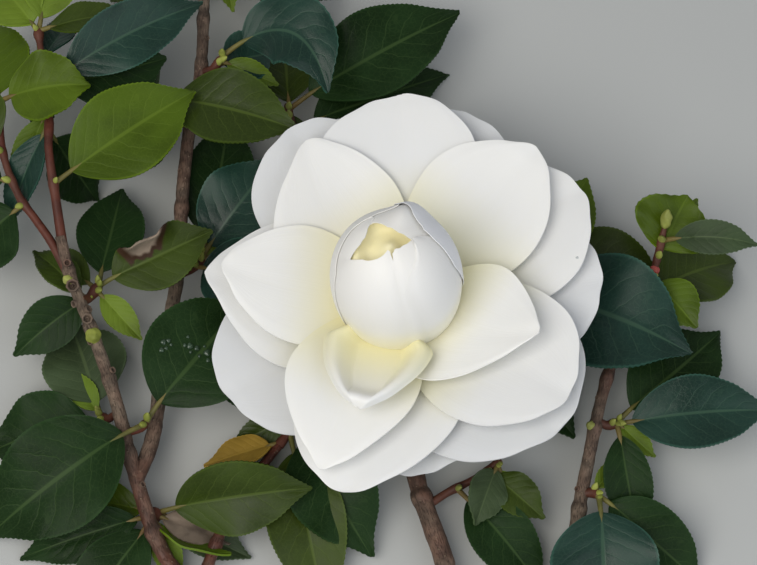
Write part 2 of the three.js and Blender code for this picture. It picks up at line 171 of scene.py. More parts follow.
# Foliage: each mass has one stem and its leaves. A leaf says where it leaves the stem (share),
# where its tip lies, its width, its look, its arch, and where it has them its roll and sweep.
MASSES = {
    "upper_left_foliage": {
        "stem": [
            (-98.5, 20, 27.3),
            (-101, 35, 31),
            (-103, 47, 33),
            (-103.5, 59, 33),
            (-106, 75, 33),
            (-108, 87, 33),
        ],
        "radii": (1.5, 0.9),
        "leaves": [
            (0.26, (-61, 68, 29), 27, "light", 0.05, 10),
            (0.72, (-59, 96, 31), 19, "blue", 0.1, 25),
            (0.7, (-70, 81, 24), 26, "dark", 0.03),
            (0.98, (-122, 104, 30), 19, "lime", 0.1),
            (0.98, (-102, 116, 33), 18, "lime", 0.08, 20),
            (0.5, (-92, 44, 0.8), 20, "dark", 0.05),
        ],
    },
    "far_left_foliage": {
        "stem": [
            (-96.5, 11, 24.3),
            (-102, 21, 26),
            (-107, 28, 27),
            (-112, 35, 28),
            (-117, 48, 29),
            (-119, 66, 30),
        ],
        "radii": (1.4, 0.9),
        "leaves": [
            (0.97, (-91, 66, 38), 22, "light", 0.16),
            (0.42, (-131, 17, 18), 24, "dark", 0.05),
            (0.7, (-136, 68, 27), 22, "olive", 0.08),
            (0.55, (-138, 42, 22), 20, "dark", 0.05),
            (0.95, (-124, 95, 20), 22, "light", 0.06),
        ],
    },
    "left_fork_foliage": {
        "stem": [(-93, 4, 23), (-91, 6, 19), (-88, 11, 17.5)],
        "radii": (1.3, 1),
        "leaves": [
            (0.9, (-55, 26, 22), 20, "withered", 0.07, 10),
            (0.6, (-113, -10, 13), 15, "dark", 0.06, -20),
            (0.9, (-84, 46, 5), 20, "dark", 0.05),
        ],
    },
    "left_middle_foliage": {
        "stem": [(-79, -34, 15.3), (-75, -33, 15.5), (-73, -31, 17.5)],
        "radii": (1.3, 1),
        "leaves": [
            (0.95, (-45, 6, 16), 32, "dark", 0.1, 8),
            (0.8, (-120, -63, 4), 32, "dark", 0.16, -8),
        ],
    },
    "left_outer_foliage": {
        "stem": [(-81, -28, 16.5), (-85, -29, 12), (-88, -27, 10)],
        "radii": (1.3, 1),
        "leaves": [
            (0.9, (-98, 3, 6), 25, "grey", 0.04),
            (0.7, (-121, -36, 0.9), 24, "dark", 0.08),
        ],
    },
    "low_left_foliage": {
        "stem": [(-72, -59, 11.5), (-71, -57, 8), (-70, -55, 6)],
        "radii": (1.3, 1),
        "leaves": [
            (0.8, (-25, -51, 16), 22, "olive", 0.12, 32),
            (0.6, (-110, -68, 0.9), 15, "dark", 0.1, -15),
            (0.9, (-43, -68, 1.5), 12, "grey", 0.02),
            (0.7, (-94, -94, 0.8), 20, "dark", 0.08),
        ],
    },
    "low_centre_foliage": {
        "stem": [(-35, -36, 8), (-29, -27, 8), (-23, -18, 8)],
        "radii": (1.3, 0.9),
        "leaves": [
            (0.35, (-8, -68, 3), 26, "dark", 0.12),
            (0.25, (-21, -84, 0.8), 23, "olive", 0.08),
            (0.6, (-58, -6, 9), 22, "dark", 0.08),
            (0.95, (-42, 12, 8), 24, "dark", 0.08),
        ],
    },
    "inner_left_foliage": {
        "stem": [(-66, 16, 11), (-62, 19, 8), (-58, 24, 7)],
        "radii": (1.3, 1),
        "leaves": [
            (0.8, (-37, 52, 14), 24, "blue", 0.1),
            (0.6, (-40, 12, 14), 22, "blue", 0.08),
            (0.95, (-52, 70, 4), 22, "dark", 0.06),
        ],
    },
    "upper_inner_foliage": {
        "stem": [(-63, 62, 16), (-69, 65, 18), (-73, 70, 21)],
        "radii": (1.3, 1),
        "leaves": [
            (0.95, (-30, 57, 25), 24, "olive", 0.1),
            (0.7, (-96, 90, 14), 24, "grey", 0.08),
            (0.5, (-86, 52, 9), 20, "dark", 0.08),
        ],
    },
    "top_arch_foliage": {
        "stem": [(-60, 79, 18.7), (-56, 79, 21), (-53, 82, 24)],
        "radii": (1.3, 1),
        "leaves": [
            (0.95, (-21, 68, 28), 24, "blue", 0.2, 0, 0.34),
            (0.6, (-38, 86, 17), 17, "blue", 0.08),
        ],
    },
    "top_foliage": {
        "stem": [(-58.4, 108, 21.5), (-57, 118, 22), (-55, 124, 21)],
        "radii": (1.5, 1),
        "leaves": [
            (0.6, (-20, 108, 10), 24, "dark", 0.12),
            (0.8, (-90, 112, 0.9), 24, "olive", 0.12),
            (0.95, (-36, 144, 6), 24, "blue", 0.1),
            (0.98, (-74, 148, 10), 22, "light", 0.1),
        ],
    },
    "back_left_foliage": {
        "stem": [(2.5, -28, 5.8), (-9, -6, 3), (-21, 25, 6), (-29, 53, 9), (-34, 72, 11)],
        "radii": (1.5, 1),
        "leaves": [
            (0.98, (19, 100, 16), 28, "dark", 0.1),
            (0.62, (24, 66, 8), 28, "dark", 0.08),
            (0.95, (-38, 112, 0.9), 25, "olive", 0.08),
            (0.5, (-48, 50, 2), 20, "dark", 0.06),
        ],
    },
    "back_right_foliage": {
        "stem": [(3, -30, 6), (16, -11, 3.5), (32, 10, 7), (42, 24, 8)],
        "radii": (1.5, 1),
        "leaves": [
            (0.8, (85, -12, 21), 36, "blue", 0.15),
            (0.95, (81, 14, 8), 28, "olive", 0.06),
            (0.95, (57, 46, 14), 20, "light", 0.06),
            (0.55, (52, -32, 3), 22, "dark", 0.06),
        ],
    },
    "right_foliage": {
        "stem": [(58, -30, 13), (61, -31, 12), (64, -30, 13)],
        "radii": (1.3, 1),
        "leaves": [
            (0.6, (109, -27, 14), 22, "blue", 0.08),
            (0.9, (70, -64, 2), 14, "dark", 0.1),
            (0.95, (96, 0, 5), 24, "dark", 0.08),
        ],
    },
    "right_sprig_foliage": {
        "stem": [(65.5, -4.5, 16.8), (72, 5, 17), (75.5, 15, 23), (78, 25, 31)],
        "radii": (1.4, 0.8),
        "leaves": [
            (0.7, (85, 34, 30), 25, "light", 0.05, 15),
            (0.85, (104, 17, 34), 10, "grey", 0.16, 20),
            (0.55, (87, -4, 21), 14, "light", 0.05),
            (0.4, (102, 24, 0.9), 22, "olive", 0.1),
        ],
    },
    "low_right_foliage": {
        "stem": [(53, -51, 10), (56.5, -51, 11), (58, -53, 13)],
        "radii": (1.3, 1),
        "leaves": [
            (0.9, (60, -92, 1.5), 31, "blue", 0.16),
            (0.6, (88, -76, 0.9), 20, "dark", 0.1),
        ],
    },
    "low_front_foliage": {
        "stem": [(8, -54, 6.8), (14, -50, 7), (22, -46, 8), (30, -41, 10)],
        "radii": (1.3, 0.9),
        "leaves": [
            (0.95, (22, -61, 12), 12, "grey", 0.1, -25),
            (0.8, (42, -58, 8), 12, "olive", 0.08),
            (0.4, (42, -78, 0.9), 18, "dark", 0.12),
        ],
    },
}

# Young leaves are one to a stem, where the solids have them. Extra ones fill in around the rest.
YOUNG_LENGTH = (14, 22)
YOUNG_REACH = 0.0015  # metres within which the solids have a tip for it, if they kept it
EXTRA_LENGTH = (22, 56)
EXTRA_DROP = (-0.15, 0.65)  # how far the tip hangs below the root, as a share of the length
EXTRA_TRIES = 600  # for one mass
LOWEST_TIP = 0.9

# The looks of a leaf, in the order of a blade's material slots.
LOOKS = ["dark", "blue", "olive", "light", "lime", "grey", "amber", "dry", "withered"]

# Petals, from the heart outward: where each points (degrees), how far it reaches, its width,
# its depth among the bowls, how pointed it is, the lift of its tip, the share of its reach where
# it is widest, and how far its tip swings aside.
PETALS = [
    (257.5, 42.5, 31, 0.0, 0.8, 1.0, 0.46, 0),
    (-36, 43.8, 42, 0.09, 0.9, 3, 0.5, 8.5),
    (247.5, 59.6, 38, 0.18, 0.95, -3, 0.53, 3),
    (178, 50.5, 38, 0.21, 0.85, 0, 0.53, -5.5),
    (128, 54.2, 41, 0.29, 0.9, 0, 0.5, -8.5),
    (44.5, 59.3, 42, 0.36, 0.7, 0, 0.58, 2),
    (-36, 60, 46, 0.41, 0.2, 0, 0.6, 0),
    (89.5, 62, 48, 0.42, 0.0, 0, 0.6, 0),
    (264, 62, 46, 0.5, 0.4, -2, 0.58, -8),
    (179, 55.2, 48, 0.56, 1.0, 0, 0.55, -6.5),
    (30, 61.5, 48, 0.6, 0.1, 0, 0.6, 0),
    (120, 63, 46, 0.67, 0.15, 1, 0.6, 0),
    (104, 61, 42, 0.75, 0.1, 0, 0.6, 0),
    (73.5, 63.5, 46, 0.79, 0.05, 0, 0.6, 0),
    (-44, 62.5, 56, 0.76, 0.1, 0, 0.6, 0),
    (3, 59.3, 46, 0.81, 0.1, 0, 0.6, 0),
    (210, 57, 50, 0.87, 0.15, 0, 0.6, 0),
    (-80, 54.5, 40, 0.95, 0.1, 0, 0.6, 0),
]
ROLLED = 0  # the petal whose margins roll inward

# The pieces that the petals make: the first petal of each, and the one after its last.
PETAL_PIECES = (
    ("petal_rolled", 0, 1),
    ("petals_inner", 1, 6),
    ("petals_middle", 6, 11),
    ("petals_outer", 11, 18),
)

HEART_SHIFT = np.array([0.9, -1.5, 0])  # the heart's axis stands this far off the seat
HEART_RADIUS = 17.6
HEART_MIDDLE = 21  # height of its widest part over the seat, and from there to its tip
HEART_RISE = 24.3
HEART_FOOT = 2.1  # radians from the tip where its petals begin
HEART_PEAK = 70  # azimuth of the peak in its outline

# Wrapping petals of the heart, from the inside out. Azimuths of the two margins from the base up,
# radius of the rim from one margin to the other, how far the rim stands up there, how far the
# petal lies off the heart, and how far its margins stand off. Each list is spread evenly.
WRAPS = {
    "hood": ((150,), (-10,), (8.6, 8.3, 4.6, 3.9, 3.8, 5.0, 8.0), (0,), (0.25,), 0.1),
    "left": ((-150,), (-243,), (12, 11.2, 7.9, 6.8, 7.2, 8.0, 9.6), (0,), (0.5,), 0.1),
    "front left": (
        (-192, -188, -184, -180, -175),
        (-40, -44, -50, -66, -84),
        (13, 10.8, 8.3, 7.2, 6.0, 4.3, 2.9, 3.2),
        (0,),
        (0.7,),
        -0.22,
    ),
    "front middle": (
        (-98, -96, -93, -88, -76),
        (12, 12, 12, 12, 10),
        (3.8, 3.2, 3.3, 3.8, 4.3, 5.2, 6.6),
        (0,),
        (0.78,),
        -0.22,
    ),
    "front right": (
        (-66, -67, -68, -69, -70, -72, -74, -60, -6),
        (18, 18, 18, 18, 18, 18, 18, 16, 14),
        (6.6, 6.2, 6.2, 7.4),
        (0.3, 0.3, 0.2, 0),
        (0.95,),
        -0.22,
    ),
    "back": (
        (-142, -146, -154, -165),
        (-279,),
        (15.4, 14, 12.5, 11.2, 10.7, 11.2, 12.3),
        (0, 0, 0.1, 0.1, 0, 0, 0),
        (0.98, 0.98, 0.9, 0.75, 0.62, 0.6),
        0.05,
    ),
    "right": (
        (8, 2, -5, -8),
        (88,),
        (16, 11.4, 9.5, 9.6, 10.4, 12.0, 14.6),
        (0.6, 0.6, 0.4, 0.3, 0.2, 0.1, 0),
        (1.4, 1.4, 1.35, 1.2, 1.0, 0.92),
        0.12,
    ),
}

# Bud scales, ring by ring from the neck up: how many, the height of their foot and of their top
# from the seat, how wide they are for their number, and how far they stand off.
SCALE_RINGS = (
    (4, -18.6, -13.5, 1.1, 0.9),
    (5, -17.6, -10.2, 1.0, 0.5),
    (6, -15, -5.6, 0.95, 0.1),
)
# Radius of the neck and the receptacle by height from the seat.
NECK_HEIGHTS = (-19, -18, -14.5, -11, -8, -5)
NECK_RADII = (1.9, 3.2, 6.4, 8.9, 10.0, 11.4)

# Leaves of the scene alone: small ones in the space of their mass.
SMALL_LEAVES = {
    "low_centre_foliage": [(0.04, (-57, -41, 4), 12, "amber", 0.12, 30)],
    "low_left_foliage": [
        (0.6, (-49, -64, 3), 12, "dry", 0.1, -20),
        (0.2, (-48, -70, 14), 13, "light", -0.03, -62, -0.1),
    ],
}

# Swollen buds: limb or mass, share of its length, azimuth and rise, radius and stretch.
KNOBS = [
    ("left_bough", 0.85, -70, 55, 2.3, 1.2),
    ("left_bough", 0.93, 150, 40, 1.5, 1.2),
    ("upright_bough", 0.69, -10, 50, 1.2, 1.2),
    ("right_bough", 0.72, 160, 50, 1.4, 1.2),
    ("right_sprig_foliage", 0.98, 80, 60, 1.7, 2.1),
]
PINK_KNOBS = [("right_sprig_foliage", 0.6, -80, 55, 1.5, 0.9)]

# Scars on the bark: limb, share of its length, azimuth and rise of the way they face, radius.
SCARS = [
    ("left_bough", 0.872, -60, 60, 1.6),
    ("left_bough", 0.925, -75, 55, 1.9),
    ("left_bough", 0.79, 10, 40, 1.0),
    ("left_bough", 0.9, -150, 35, 1.1),
    ("left_bough", 0.885, 20, 40, 1.2),
    ("left_bough", 0.84, -175, 45, 1.0),
    ("left_bough", 0.96, -60, 55, 1.1),
    ("left_bough", 0.62, 20, 50, 0.9),
    ("left_bough", 0.47, 200, 50, 0.8),
    ("upright_bough", 0.86, 10, 45, 0.8),
    ("upright_bough", 0.6, 170, 50, 0.8),
    ("right_bough", 0.55, 190, 45, 0.8),
    ("right_bough", 0.8, 180, 45, 0.7),
    ("main_stem", 0.33, 170, 55, 1.2),
    ("main_stem", 0.5, 10, 60, 1.0),
    ("low_twig", 0.5, 10, 50, 0.6),
]

# Water drops: foliage mass, leaf, and how far across and along its blade each one sits, with its
# radius in millimetres.
LEAF_DROPS = (
    "left_middle_foliage",
    0,
    [
        (0.2, 0.3, 0.8),
        (0.23, 0.33, 0.6),
        (0.18, 0.35, 0.9),
        (0.25, 0.37, 0.5),
        (0.21, 0.38, 0.7),
        (0.35, 0.43, 0.6),
        (0.39, 0.45, 1.0),
        (0.43, 0.42, 0.5),
        (0.45, 0.47, 0.8),
        (0.51, 0.44, 0.6),
        (0.55, 0.49, 1.1),
        (0.6, 0.45, 0.7),
        (0.49, 0.52, 0.5),
        (0.63, 0.52, 0.6),
        (0.32, 0.49, 0.5),
    ],
)

# The same on the petals: petal, how far across and along it, radius.
PETAL_DROPS = [
    (10, 0.06, 0.6, 0.8),
    (10, 0.08, 0.555, 0.6),
    (10, 0.12, 0.66, 0.4),
    (14, 0.55, 0.67, 0.6),
    (14, 0.6, 0.9, 0.5),
    (8, 0.62, 0.74, 0.5),
    (2, 0.7, 0.62, 0.45),
    (15, 0.4, 0.86, 0.4),
    (6, 0.75, 0.85, 0.4),
]


class CamelliaSizes(bpy.types.PropertyGroup):
    """Sizes of the dressed branch."""

    seat_height: FloatProperty(
        name="Seat height",
        description="Height of the bloom's receptacle above the surface",
        default=0.028,
        unit="LENGTH",
    )
    petal_thickness: FloatProperty(
        name="Petal thickness",
        description="Thickness of one petal",
        default=0.00048,
        unit="LENGTH",
    )
    blade_thickness: FloatProperty(
        name="Leaf thickness",
        description="Thickness of one leaf blade",
        default=0.0006,
        unit="LENGTH",
    )
    scale_thickness: FloatProperty(
        name="Bud scale thickness",
        description="Thickness of one bud scale of the calyx",
        default=0.0005,
        unit="LENGTH",
    )
    tooth_pitch: FloatProperty(
        name="Tooth pitch",
        description="Distance between two teeth of a leaf's margin",
        default=0.0013,
        unit="LENGTH",
    )
    tooth_depth: FloatProperty(
        name="Tooth depth",
        description="How far a tooth stands out of the margin",
        default=0.0002,
        unit="LENGTH",
    )
    bark_relief: FloatProperty(
        name="Bark relief",
        description="Height of the ridges on the woody limbs",
        default=0.0005,
        unit="LENGTH",
    )
    extra_leaves: IntProperty(
        name="Extra leaves",
        description="Small leaves that fill in each foliage mass, where they find room",
        default=12,
        min=0,
        max=24,
    )


def colour_property(name, description, default):
    return FloatVectorProperty(
        name=name, description=description, default=default, subtype="COLOR", min=0, max=1
    )


class CamelliaColours(bpy.types.PropertyGroup):
    """Colours of the dressed branch."""

    petal: colour_property("Petal", "Body of the petals", (0.87, 0.865, 0.835))
    petal_base: colour_property("Petal base", "Cream towards the heart", (0.83, 0.78, 0.47))
    # The dark, light and bluish leaf colours are each partly the leaf's own green and partly
    # painted light: the dark one darkened as painted shade, the light one lightened as painted
    # light, and the bluish one tinted as a painted sky reflection.
    dark: colour_property("Dark leaf", "Old leaves in shade", (0.013, 0.031, 0.009))
    blue: colour_property("Bluish leaf", "Old leaves that reflect the sky", (0.013, 0.038, 0.027))
    olive: colour_property("Olive leaf", "Leaves of last season", (0.033, 0.053, 0.005))
    light: colour_property("Light leaf", "Leaves in full light", (0.06, 0.098, 0.003))
    lime: colour_property("Lime leaf", "Young shoots", (0.11, 0.165, 0.014))
    grey: colour_property("Grey-green leaf", "Leaves with a pale bloom", (0.04, 0.062, 0.026))
    amber: colour_property("Amber leaf", "A leaf about to drop", (0.28, 0.175, 0.027))
    dry: colour_property("Withered", "Dead part of a leaf", (0.16, 0.125, 0.095))
    underside: colour_property("Underside", "Back of a leaf", (0.15, 0.2, 0.075))
    bark: colour_property("Bark", "Older wood", (0.155, 0.115, 0.083))
    twig: colour_property("Twig", "Reddish young wood", (0.085, 0.021, 0.011))
    bud: colour_property("Bud", "Axillary buds and bud scales", (0.27, 0.31, 0.05))


def place(points):
    """Table millimetres to the branch's own frame in metres."""
    return (np.asarray(points, float) - ORIGIN) * MM


def facing(azimuth, rise):
    """The direction at an azimuth and a rise, both in degrees."""
    a, e = math.radians(azimuth), math.radians(rise)
    return np.array([math.cos(a) * math.cos(e), math.sin(a) * math.cos(e), math.sin(e)])


def about_axis(azimuth, radius, height):
    """Points about the upright axis, with the azimuth in radians."""
    return np.stack([radius * np.cos(azimuth), radius * np.sin(azimuth), height], -1)


def turn_to(axis):
    """The turn that brings a blank's own Z onto an axis."""
    return np.array(Vector(axis).to_track_quat("Z", "Y").to_matrix())


def smooth(low, high, x):
    """A soft step from 0 at low to 1 at high."""
    s = np.clip((x - low) / (high - low), 0, 1)
    return s * s * (3 - 2 * s)


# ------------------------------------------------------------------ shapes


class Route:
    """A smooth curve through named points, read by its share of arc length."""

    def __init__(self, points):
        p = np.asarray(points, float)
        p = np.vstack([2 * p[0] - p[1], p, 2 * p[-1] - p[-2]])
        t = np.linspace(0, 1, 41)[:, None]
        runs = []
        for i in range(1, len(p) - 2):
            a, b = p[i], p[i + 1]
            u, v = 0.5 * (b - p[i - 1]), 0.5 * (p[i + 2] - a)
            curve = a + u * t + (3 * (b - a) - 2 * u - v) * t**2 + (2 * (a - b) + u + v) * t**3
            runs.append(curve[:-1])
        self.dense = np.vstack([*runs, p[-2][None]])
        steps = np.linalg.norm(np.diff(self.dense, axis=0), axis=1)
        self.run = np.concatenate([[0], np.cumsum(steps)])
        self.length = self.run[-1]

    def at(self, share):
        """The points at shares of the length."""
        reach = np.asarray(share, float) * self.length
        return np.stack([np.interp(reach, self.run, self.dense[:, k]) for k in range(3)], -1)


def unit(a):
    """The same directions, of length 1."""
    return a / np.maximum(np.linalg.norm(a, axis=-1, keepdims=True), 1e-9)


class Leaf:
    """A stalked leaf from root to tip, in table millimetres."""

    def __init__(self, root, tip, width, look="dark", arch=0.06, roll=0, sweep=0, seed=0):
        self.root, self.tip = np.asarray(root, float), np.asarray(tip, float)
        self.width, self.look, self.arch, self.sweep = width, look, arch, sweep
        self.roll = math.radians(roll)
        self.along = self.tip - self.root
        self.length = float(np.linalg.norm(self.along))
        self.across = unit(np.cross(np.array([0, 0, 1.0]), self.along))
        dice = random.Random(seed)
        self.tint = dice.uniform(0, 1)
        self.phase = dice.uniform(0, ROUND)
        self.waves = dice.uniform(1.6, 3.0)
        self.ripple = dice.uniform(0.25, 0.8) * width / 22
        self.skew = dice.uniform(-0.02, 0.02) * self.length

    def spine(self, share):
        """Centre, forward, side and normal at a share of the length."""
        s = np.asarray(share, float)[..., None]
        up = np.array([0, 0, 1.0])
        bow = self.length * 4 * s * (1 - s)
        turn = self.length * 4 * (1 - 2 * s)
        centre = self.root + self.along * s + up * self.arch * bow
        centre = centre + self.across * self.sweep * bow
        forward = unit(self.along + up * self.arch * turn + self.across * self.sweep * turn)
        side = unit(np.cross(np.broadcast_to(up, forward.shape), forward))
        side = side * math.cos(self.roll) + np.cross(forward, side) * math.sin(self.roll)
        return centre, forward, side, unit(np.cross(forward, side))

    def half(self, v):
        """Half the blade's width, widest below its middle and drawn out to the tip."""
        v = np.clip(v, 0, 1)
        blade = np.sin(np.pi * v**0.82) ** 0.85 * (1 - 0.3 * smooth(0.72, 0.95, v))
        return np.maximum(0.3, self.width / 2 * blade)

    def surface(self, u, v, rows=0, tooth=0.0):
        """Points of the upper face: u across from 0 to 1, v from the blade's base to its tip.

        The margins rise from the midrib and ripple, the midrib is sunk, and every other point of
        the margin's rows stands out as a tooth.
        """
        t = 2 * u - 1
        centre, forward, side, normal = self.spine(STALK_SHARE + (1 - STALK_SHARE) * v)
        half = self.half(v)
        lift = FOLD * half * np.abs(t) ** 1.25 - 0.05 * half * t**4
        lift += self.ripple * np.sin(self.waves * ROUND * v + self.phase + 1.9 * np.sign(t)) * t**2
        lift -= 0.35 * np.exp(-((t * half / 0.7) ** 2)) * smooth(1, 0.9, v)
        sway = self.skew * np.sin(np.pi * v) * smooth(0, 0.3, v)
        push = np.zeros_like(v)
        if rows:
            teeth = (np.round(v * rows).astype(int) % 2 == 1) & (np.abs(t) > 0.999)
            teeth &= (v > 0.08) & (v < 0.985)
            push = np.where(teeth, tooth, 0)
            half = half + push
        if self.look == "withered":
            curl = smooth(0.45, 0.0, u) * smooth(0.12, 0.3, v) * smooth(0.72, 0.5, v)
            lift = lift + curl * (6 + 1.4 * np.sin(23 * v))
            half = half * (1 - 0.55 * curl)
        points = (
            centre
            - side * (t * half + sway)[..., None]
            + normal * (lift + 0.3)[..., None]
            + forward * push[..., None]
        )
        points[..., 2] = np.maximum(points[..., 2], 0.75)
        return points

    def samples(self, across, along):
        """Points of the upper face at every pair of these shares, in metres."""
        u, v = np.meshgrid(across, along)
        return place(self.surface(u.ravel(), v.ravel()))

    def stalk(self):
        """The stalk and the rib that goes on along the blade's underside, as points and radii."""
        share = np.concatenate([np.linspace(0, STALK_SHARE, 6), np.linspace(0.17, 0.93, 16)])
        centre, _, side, normal = self.spine(share)
        blade = smooth(STALK_SHARE, 0.2, share)
        radius = np.interp(share, [0, 0.03, STALK_SHARE, 0.3, 0.93], [1.15, 0.85, 0.7, 0.5, 0.12])
        v = np.clip((share - STALK_SHARE) / (1 - STALK_SHARE), 0, 1)
        centre = centre - normal * (blade * (radius * 0.75 + 0.25))[:, None]
        centre = centre - side * (self.skew * np.sin(np.pi * v) * smooth(0, 0.3, v))[:, None]
        centre[:, 2] = np.maximum(centre[:, 2], radius + 0.06)
        return centre, radius


def bowl(distance, depth):
    """Height of a petal's surface over the receptacle; depth 1 is the outermost, flattest."""
    out = np.maximum(0, distance - PETAL_ROOT)
    sink, wall, slope = 7 * depth, 16 - 9 * depth, 0.12 - 0.06 * depth
    return -sink + wall * (1 - np.exp(-out / 18)) + slope * out


LEAN = (
    Matrix.Rotation(math.radians(-LEAN_LEFT), 4, "Y")
    @ Matrix.Rotation(math.radians(-LEAN_BACK), 4, "X")
)


def on_seat(points, sizes):
    """Bloom millimetres, from the seat, to the branch's own frame in metres."""
    turned = np.asarray(points) @ np.array(LEAN.to_3x3()).T
    return place(turned + np.array([0, 0, sizes.seat_height / MM]))


def petal_surface(index):
    """The upper face of a petal as a function of u across and v outward, in bloom millimetres."""
    azimuth, reach, width, depth, point, tip_lift, widest, swing = PETALS[index]
    rolled = index == ROLLED
    dice = random.Random(PETAL_SEED + index)
    phase = [dice.uniform(0, ROUND) for _ in range(4)]
    a = math.radians(azimuth)
    turn, side = np.array([math.cos(a), math.sin(a), 0]), np.array([-math.sin(a), math.cos(a), 0])

    def outline(t, share):
        """Half the petal's width at a share of its reach, waved a little along the margins."""
        past = np.clip((share - widest) / (1 - widest), 0, 1)
        near = np.clip(share / widest, 0, 1)
        swell = 0.08 + 0.92 * near**1.6 if rolled else 0.22 + 0.78 * np.sin(np.pi / 2 * near)
        half = width / 2 * swell
        half = half * np.maximum(0.012, (1 - past ** (2.2 - 0.5 * point)) ** (0.5 + 0.35 * point))
        half = half * (1 + 0.018 * np.sin(7 * share + phase[0] + np.sign(t)))
        return half * (1 + 0.006 * np.sin(23 * share + phase[1]) * smooth(0.5, 0.8, share))

    def lip(t, share):
        """Height of the rolled petal's inturned margins."""
        brim = np.maximum(np.abs(t), share**4)
        rise = 5.6 * smooth(0.4, 0.8, brim) - 2.6 * smooth(0.8, 1, brim) ** 2
        return rise * smooth(0.1, 0.4, share) + 0.3 * np.sin(9 * share + t)

    def surface(u, v):
        t = 2 * u - 1
        share = np.sin(v * np.pi / 2)
        across = t * outline(t, share)
        narrow = across / (width / 2)
        waves = 0.012 * np.sin(4 * narrow + phase[1]) + 0.004 * np.sin(15 * narrow + phase[2])
        out = share * reach * (1 + waves * share**4)
        p = turn * out[..., None] + side * (across + swing * share**4)[..., None]
        distance = np.linalg.norm(p, axis=-1)
        slope = (bowl(distance + 1, depth) - bowl(distance - 1, depth)) / 2
        rise = tip_lift * share**4
        if rolled:
            rise = rise + lip(t, share)
        else:
            sides = smooth(0.8, 1, np.abs(t)) * smooth(0.3, 0.6, share)
            edge = np.maximum(sides, smooth(0.92, 1, share))
            rise = rise - (0.3 - 0.15 * depth) * edge + (1.3 - depth) * narrow**2 * share
        rise = rise + 0.5 * np.sin(3.4 * narrow + phase[2]) * share**3
        rise = rise + 0.4 * np.sin(7 * share + phase[3]) * narrow**2 * share
        rise = rise - 0.3 * np.exp(-((across / 3) ** 2)) * smooth(0.5, 1, share)
        outward = p[..., :2] / np.maximum(distance, 1)[..., None]
        normal = np.concatenate([-slope[..., None] * outward, np.ones_like(slope)[..., None]], -1)
        p[..., 2] = bowl(distance, depth) + rise
        return p + 0.3 * unit(normal)

    return surface


def egg(polar):
    """Radius and height of the closed heart at an angle from its tip."""
    c = np.cos(polar)
    radius = HEART_RADIUS * np.sqrt(np.maximum(0, 1 - np.abs(c) ** 2.3))
    return radius, HEART_MIDDLE + HEART_RISE * c


def keel(azimuth, polar):
    """How far the far side of the heart is drawn out into the peak of its outline."""
    away = np.mod(azimuth - math.radians(HEART_PEAK) + np.pi, 2 * np.pi) - np.pi
    return 2.0 * np.exp(-((away / 0.3) ** 2)) * smooth(0.2, 0.65, polar) * smooth(1.6, 0.9, polar)


def wrap_surface(first, last, rim, stand, off, flare):
    """The outer face of one wrapping petal: u from margin to margin, v from its foot to its rim."""

    def along(values, x):
        return np.interp(x, np.linspace(0, 1, len(values)), values)

    angles = np.linspace(0, np.pi / 2, 400)
    radii = egg(angles)[0]
    rim_phase = len(rim)
    turn = 0.06 if flare > 0 else 0.24

    def surface(u, v):
        rim_radius = along(rim, u) + 0.1 * np.sin(17 * u + rim_phase)
        polar = HEART_FOOT + (np.interp(rim_radius, radii, angles) - HEART_FOOT) * v
        raised = along(stand, u) * v**5
        azimuth = np.radians(along(first, v) * (1 - u) + along(last, v) * u)
        edge = np.maximum(smooth(turn, 0, u), smooth(1 - turn, 1, u))
        lift = along(off, u) + flare * edge + keel(azimuth, polar)
        radius, z = egg(polar)
        radius = radius + lift * np.sin(polar) + 0.35 * raised
        z = z + lift * np.cos(polar) + raised
        return about_axis(azimuth, radius, z) + HEART_SHIFT

    return surface


def scale_surface(count, foot, top, wide, off, spin):
    """The outer face of one bud scale, in bloom millimetres."""

    def surface(u, v):
        t = 2 * u - 1
        outline = np.sqrt(np.clip(1 - np.abs(v * 1.05 - 0.42) ** 2.4 * 3, 0.02, 1))
        azimuth = spin + t * (wide * 3.6 / count * outline)
        z = foot + (top - foot) * v * (1 - 0.12 * t**2)
        radius = np.interp(z, NECK_HEIGHTS, NECK_RADII)
        radius = radius + off + 0.35 * smooth(0.8, 1, v) - 0.25 * t**2
        return about_axis(azimuth, radius, z)

    return surface


# ------------------------------------------------------------------ modelling


def clear_selection():
    bpy.ops.object.select_all(action="DESELECT")


def pick(*objects):
    """Selects these objects alone, the first as the active one."""
    clear_selection()
    for o in objects:
        o.select_set(True)
    bpy.context.view_layer.objects.active = objects[0]


def points_of(obj):
    """The points of a mesh, one to a row."""
    co = np.empty(len(obj.data.vertices) * 3)
    obj.data.vertices.foreach_get("co", co)
    return co.reshape(-1, 3)


def move_points(obj, points):
    obj.data.vertices.foreach_set("co", np.ascontiguousarray(points, float).ravel())
    obj.data.update()


def ball(segments, rings):
    """A round blank of radius 1 and its points."""
    clear_selection()
    bpy.ops.mesh.primitive_uv_sphere_add(segments=segments, ring_count=rings, radius=1)
    obj = bpy.context.active_object
    return obj, points_of(obj)


def write_layer(mesh, name, values):
    """One value for each point of a mesh, which its material reads by name."""
    layer = mesh.attributes.new(name, "FLOAT", "POINT")
    flat = np.broadcast_to(values, len(mesh.vertices))
    layer.data.foreach_set("value", np.ascontiguousarray(flat, np.float32))


def sheet(name, columns, rows, shape, layer):
    """A grid shaped by a function of u and v, with its UV map named for the material."""
    clear_selection()
    bpy.ops.mesh.primitive_grid_add(x_subdivisions=columns, y_subdivisions=rows, size=2)
    obj = bpy.context.active_object
    obj.name = obj.data.name = name
    flat = points_of(obj)
    move_points(obj, shape((flat[:, 0] + 1) / 2, (flat[:, 1] + 1) / 2))
    obj.data.uv_layers[0].name = layer
    return obj


def bloom_sheet(name, columns, rows, surface, sizes):
    """A sheet of the bloom, whose surface is in bloom millimetres."""
    return sheet(name, columns, rows, lambda u, v: on_seat(surface(u, v), sizes), "Petal")


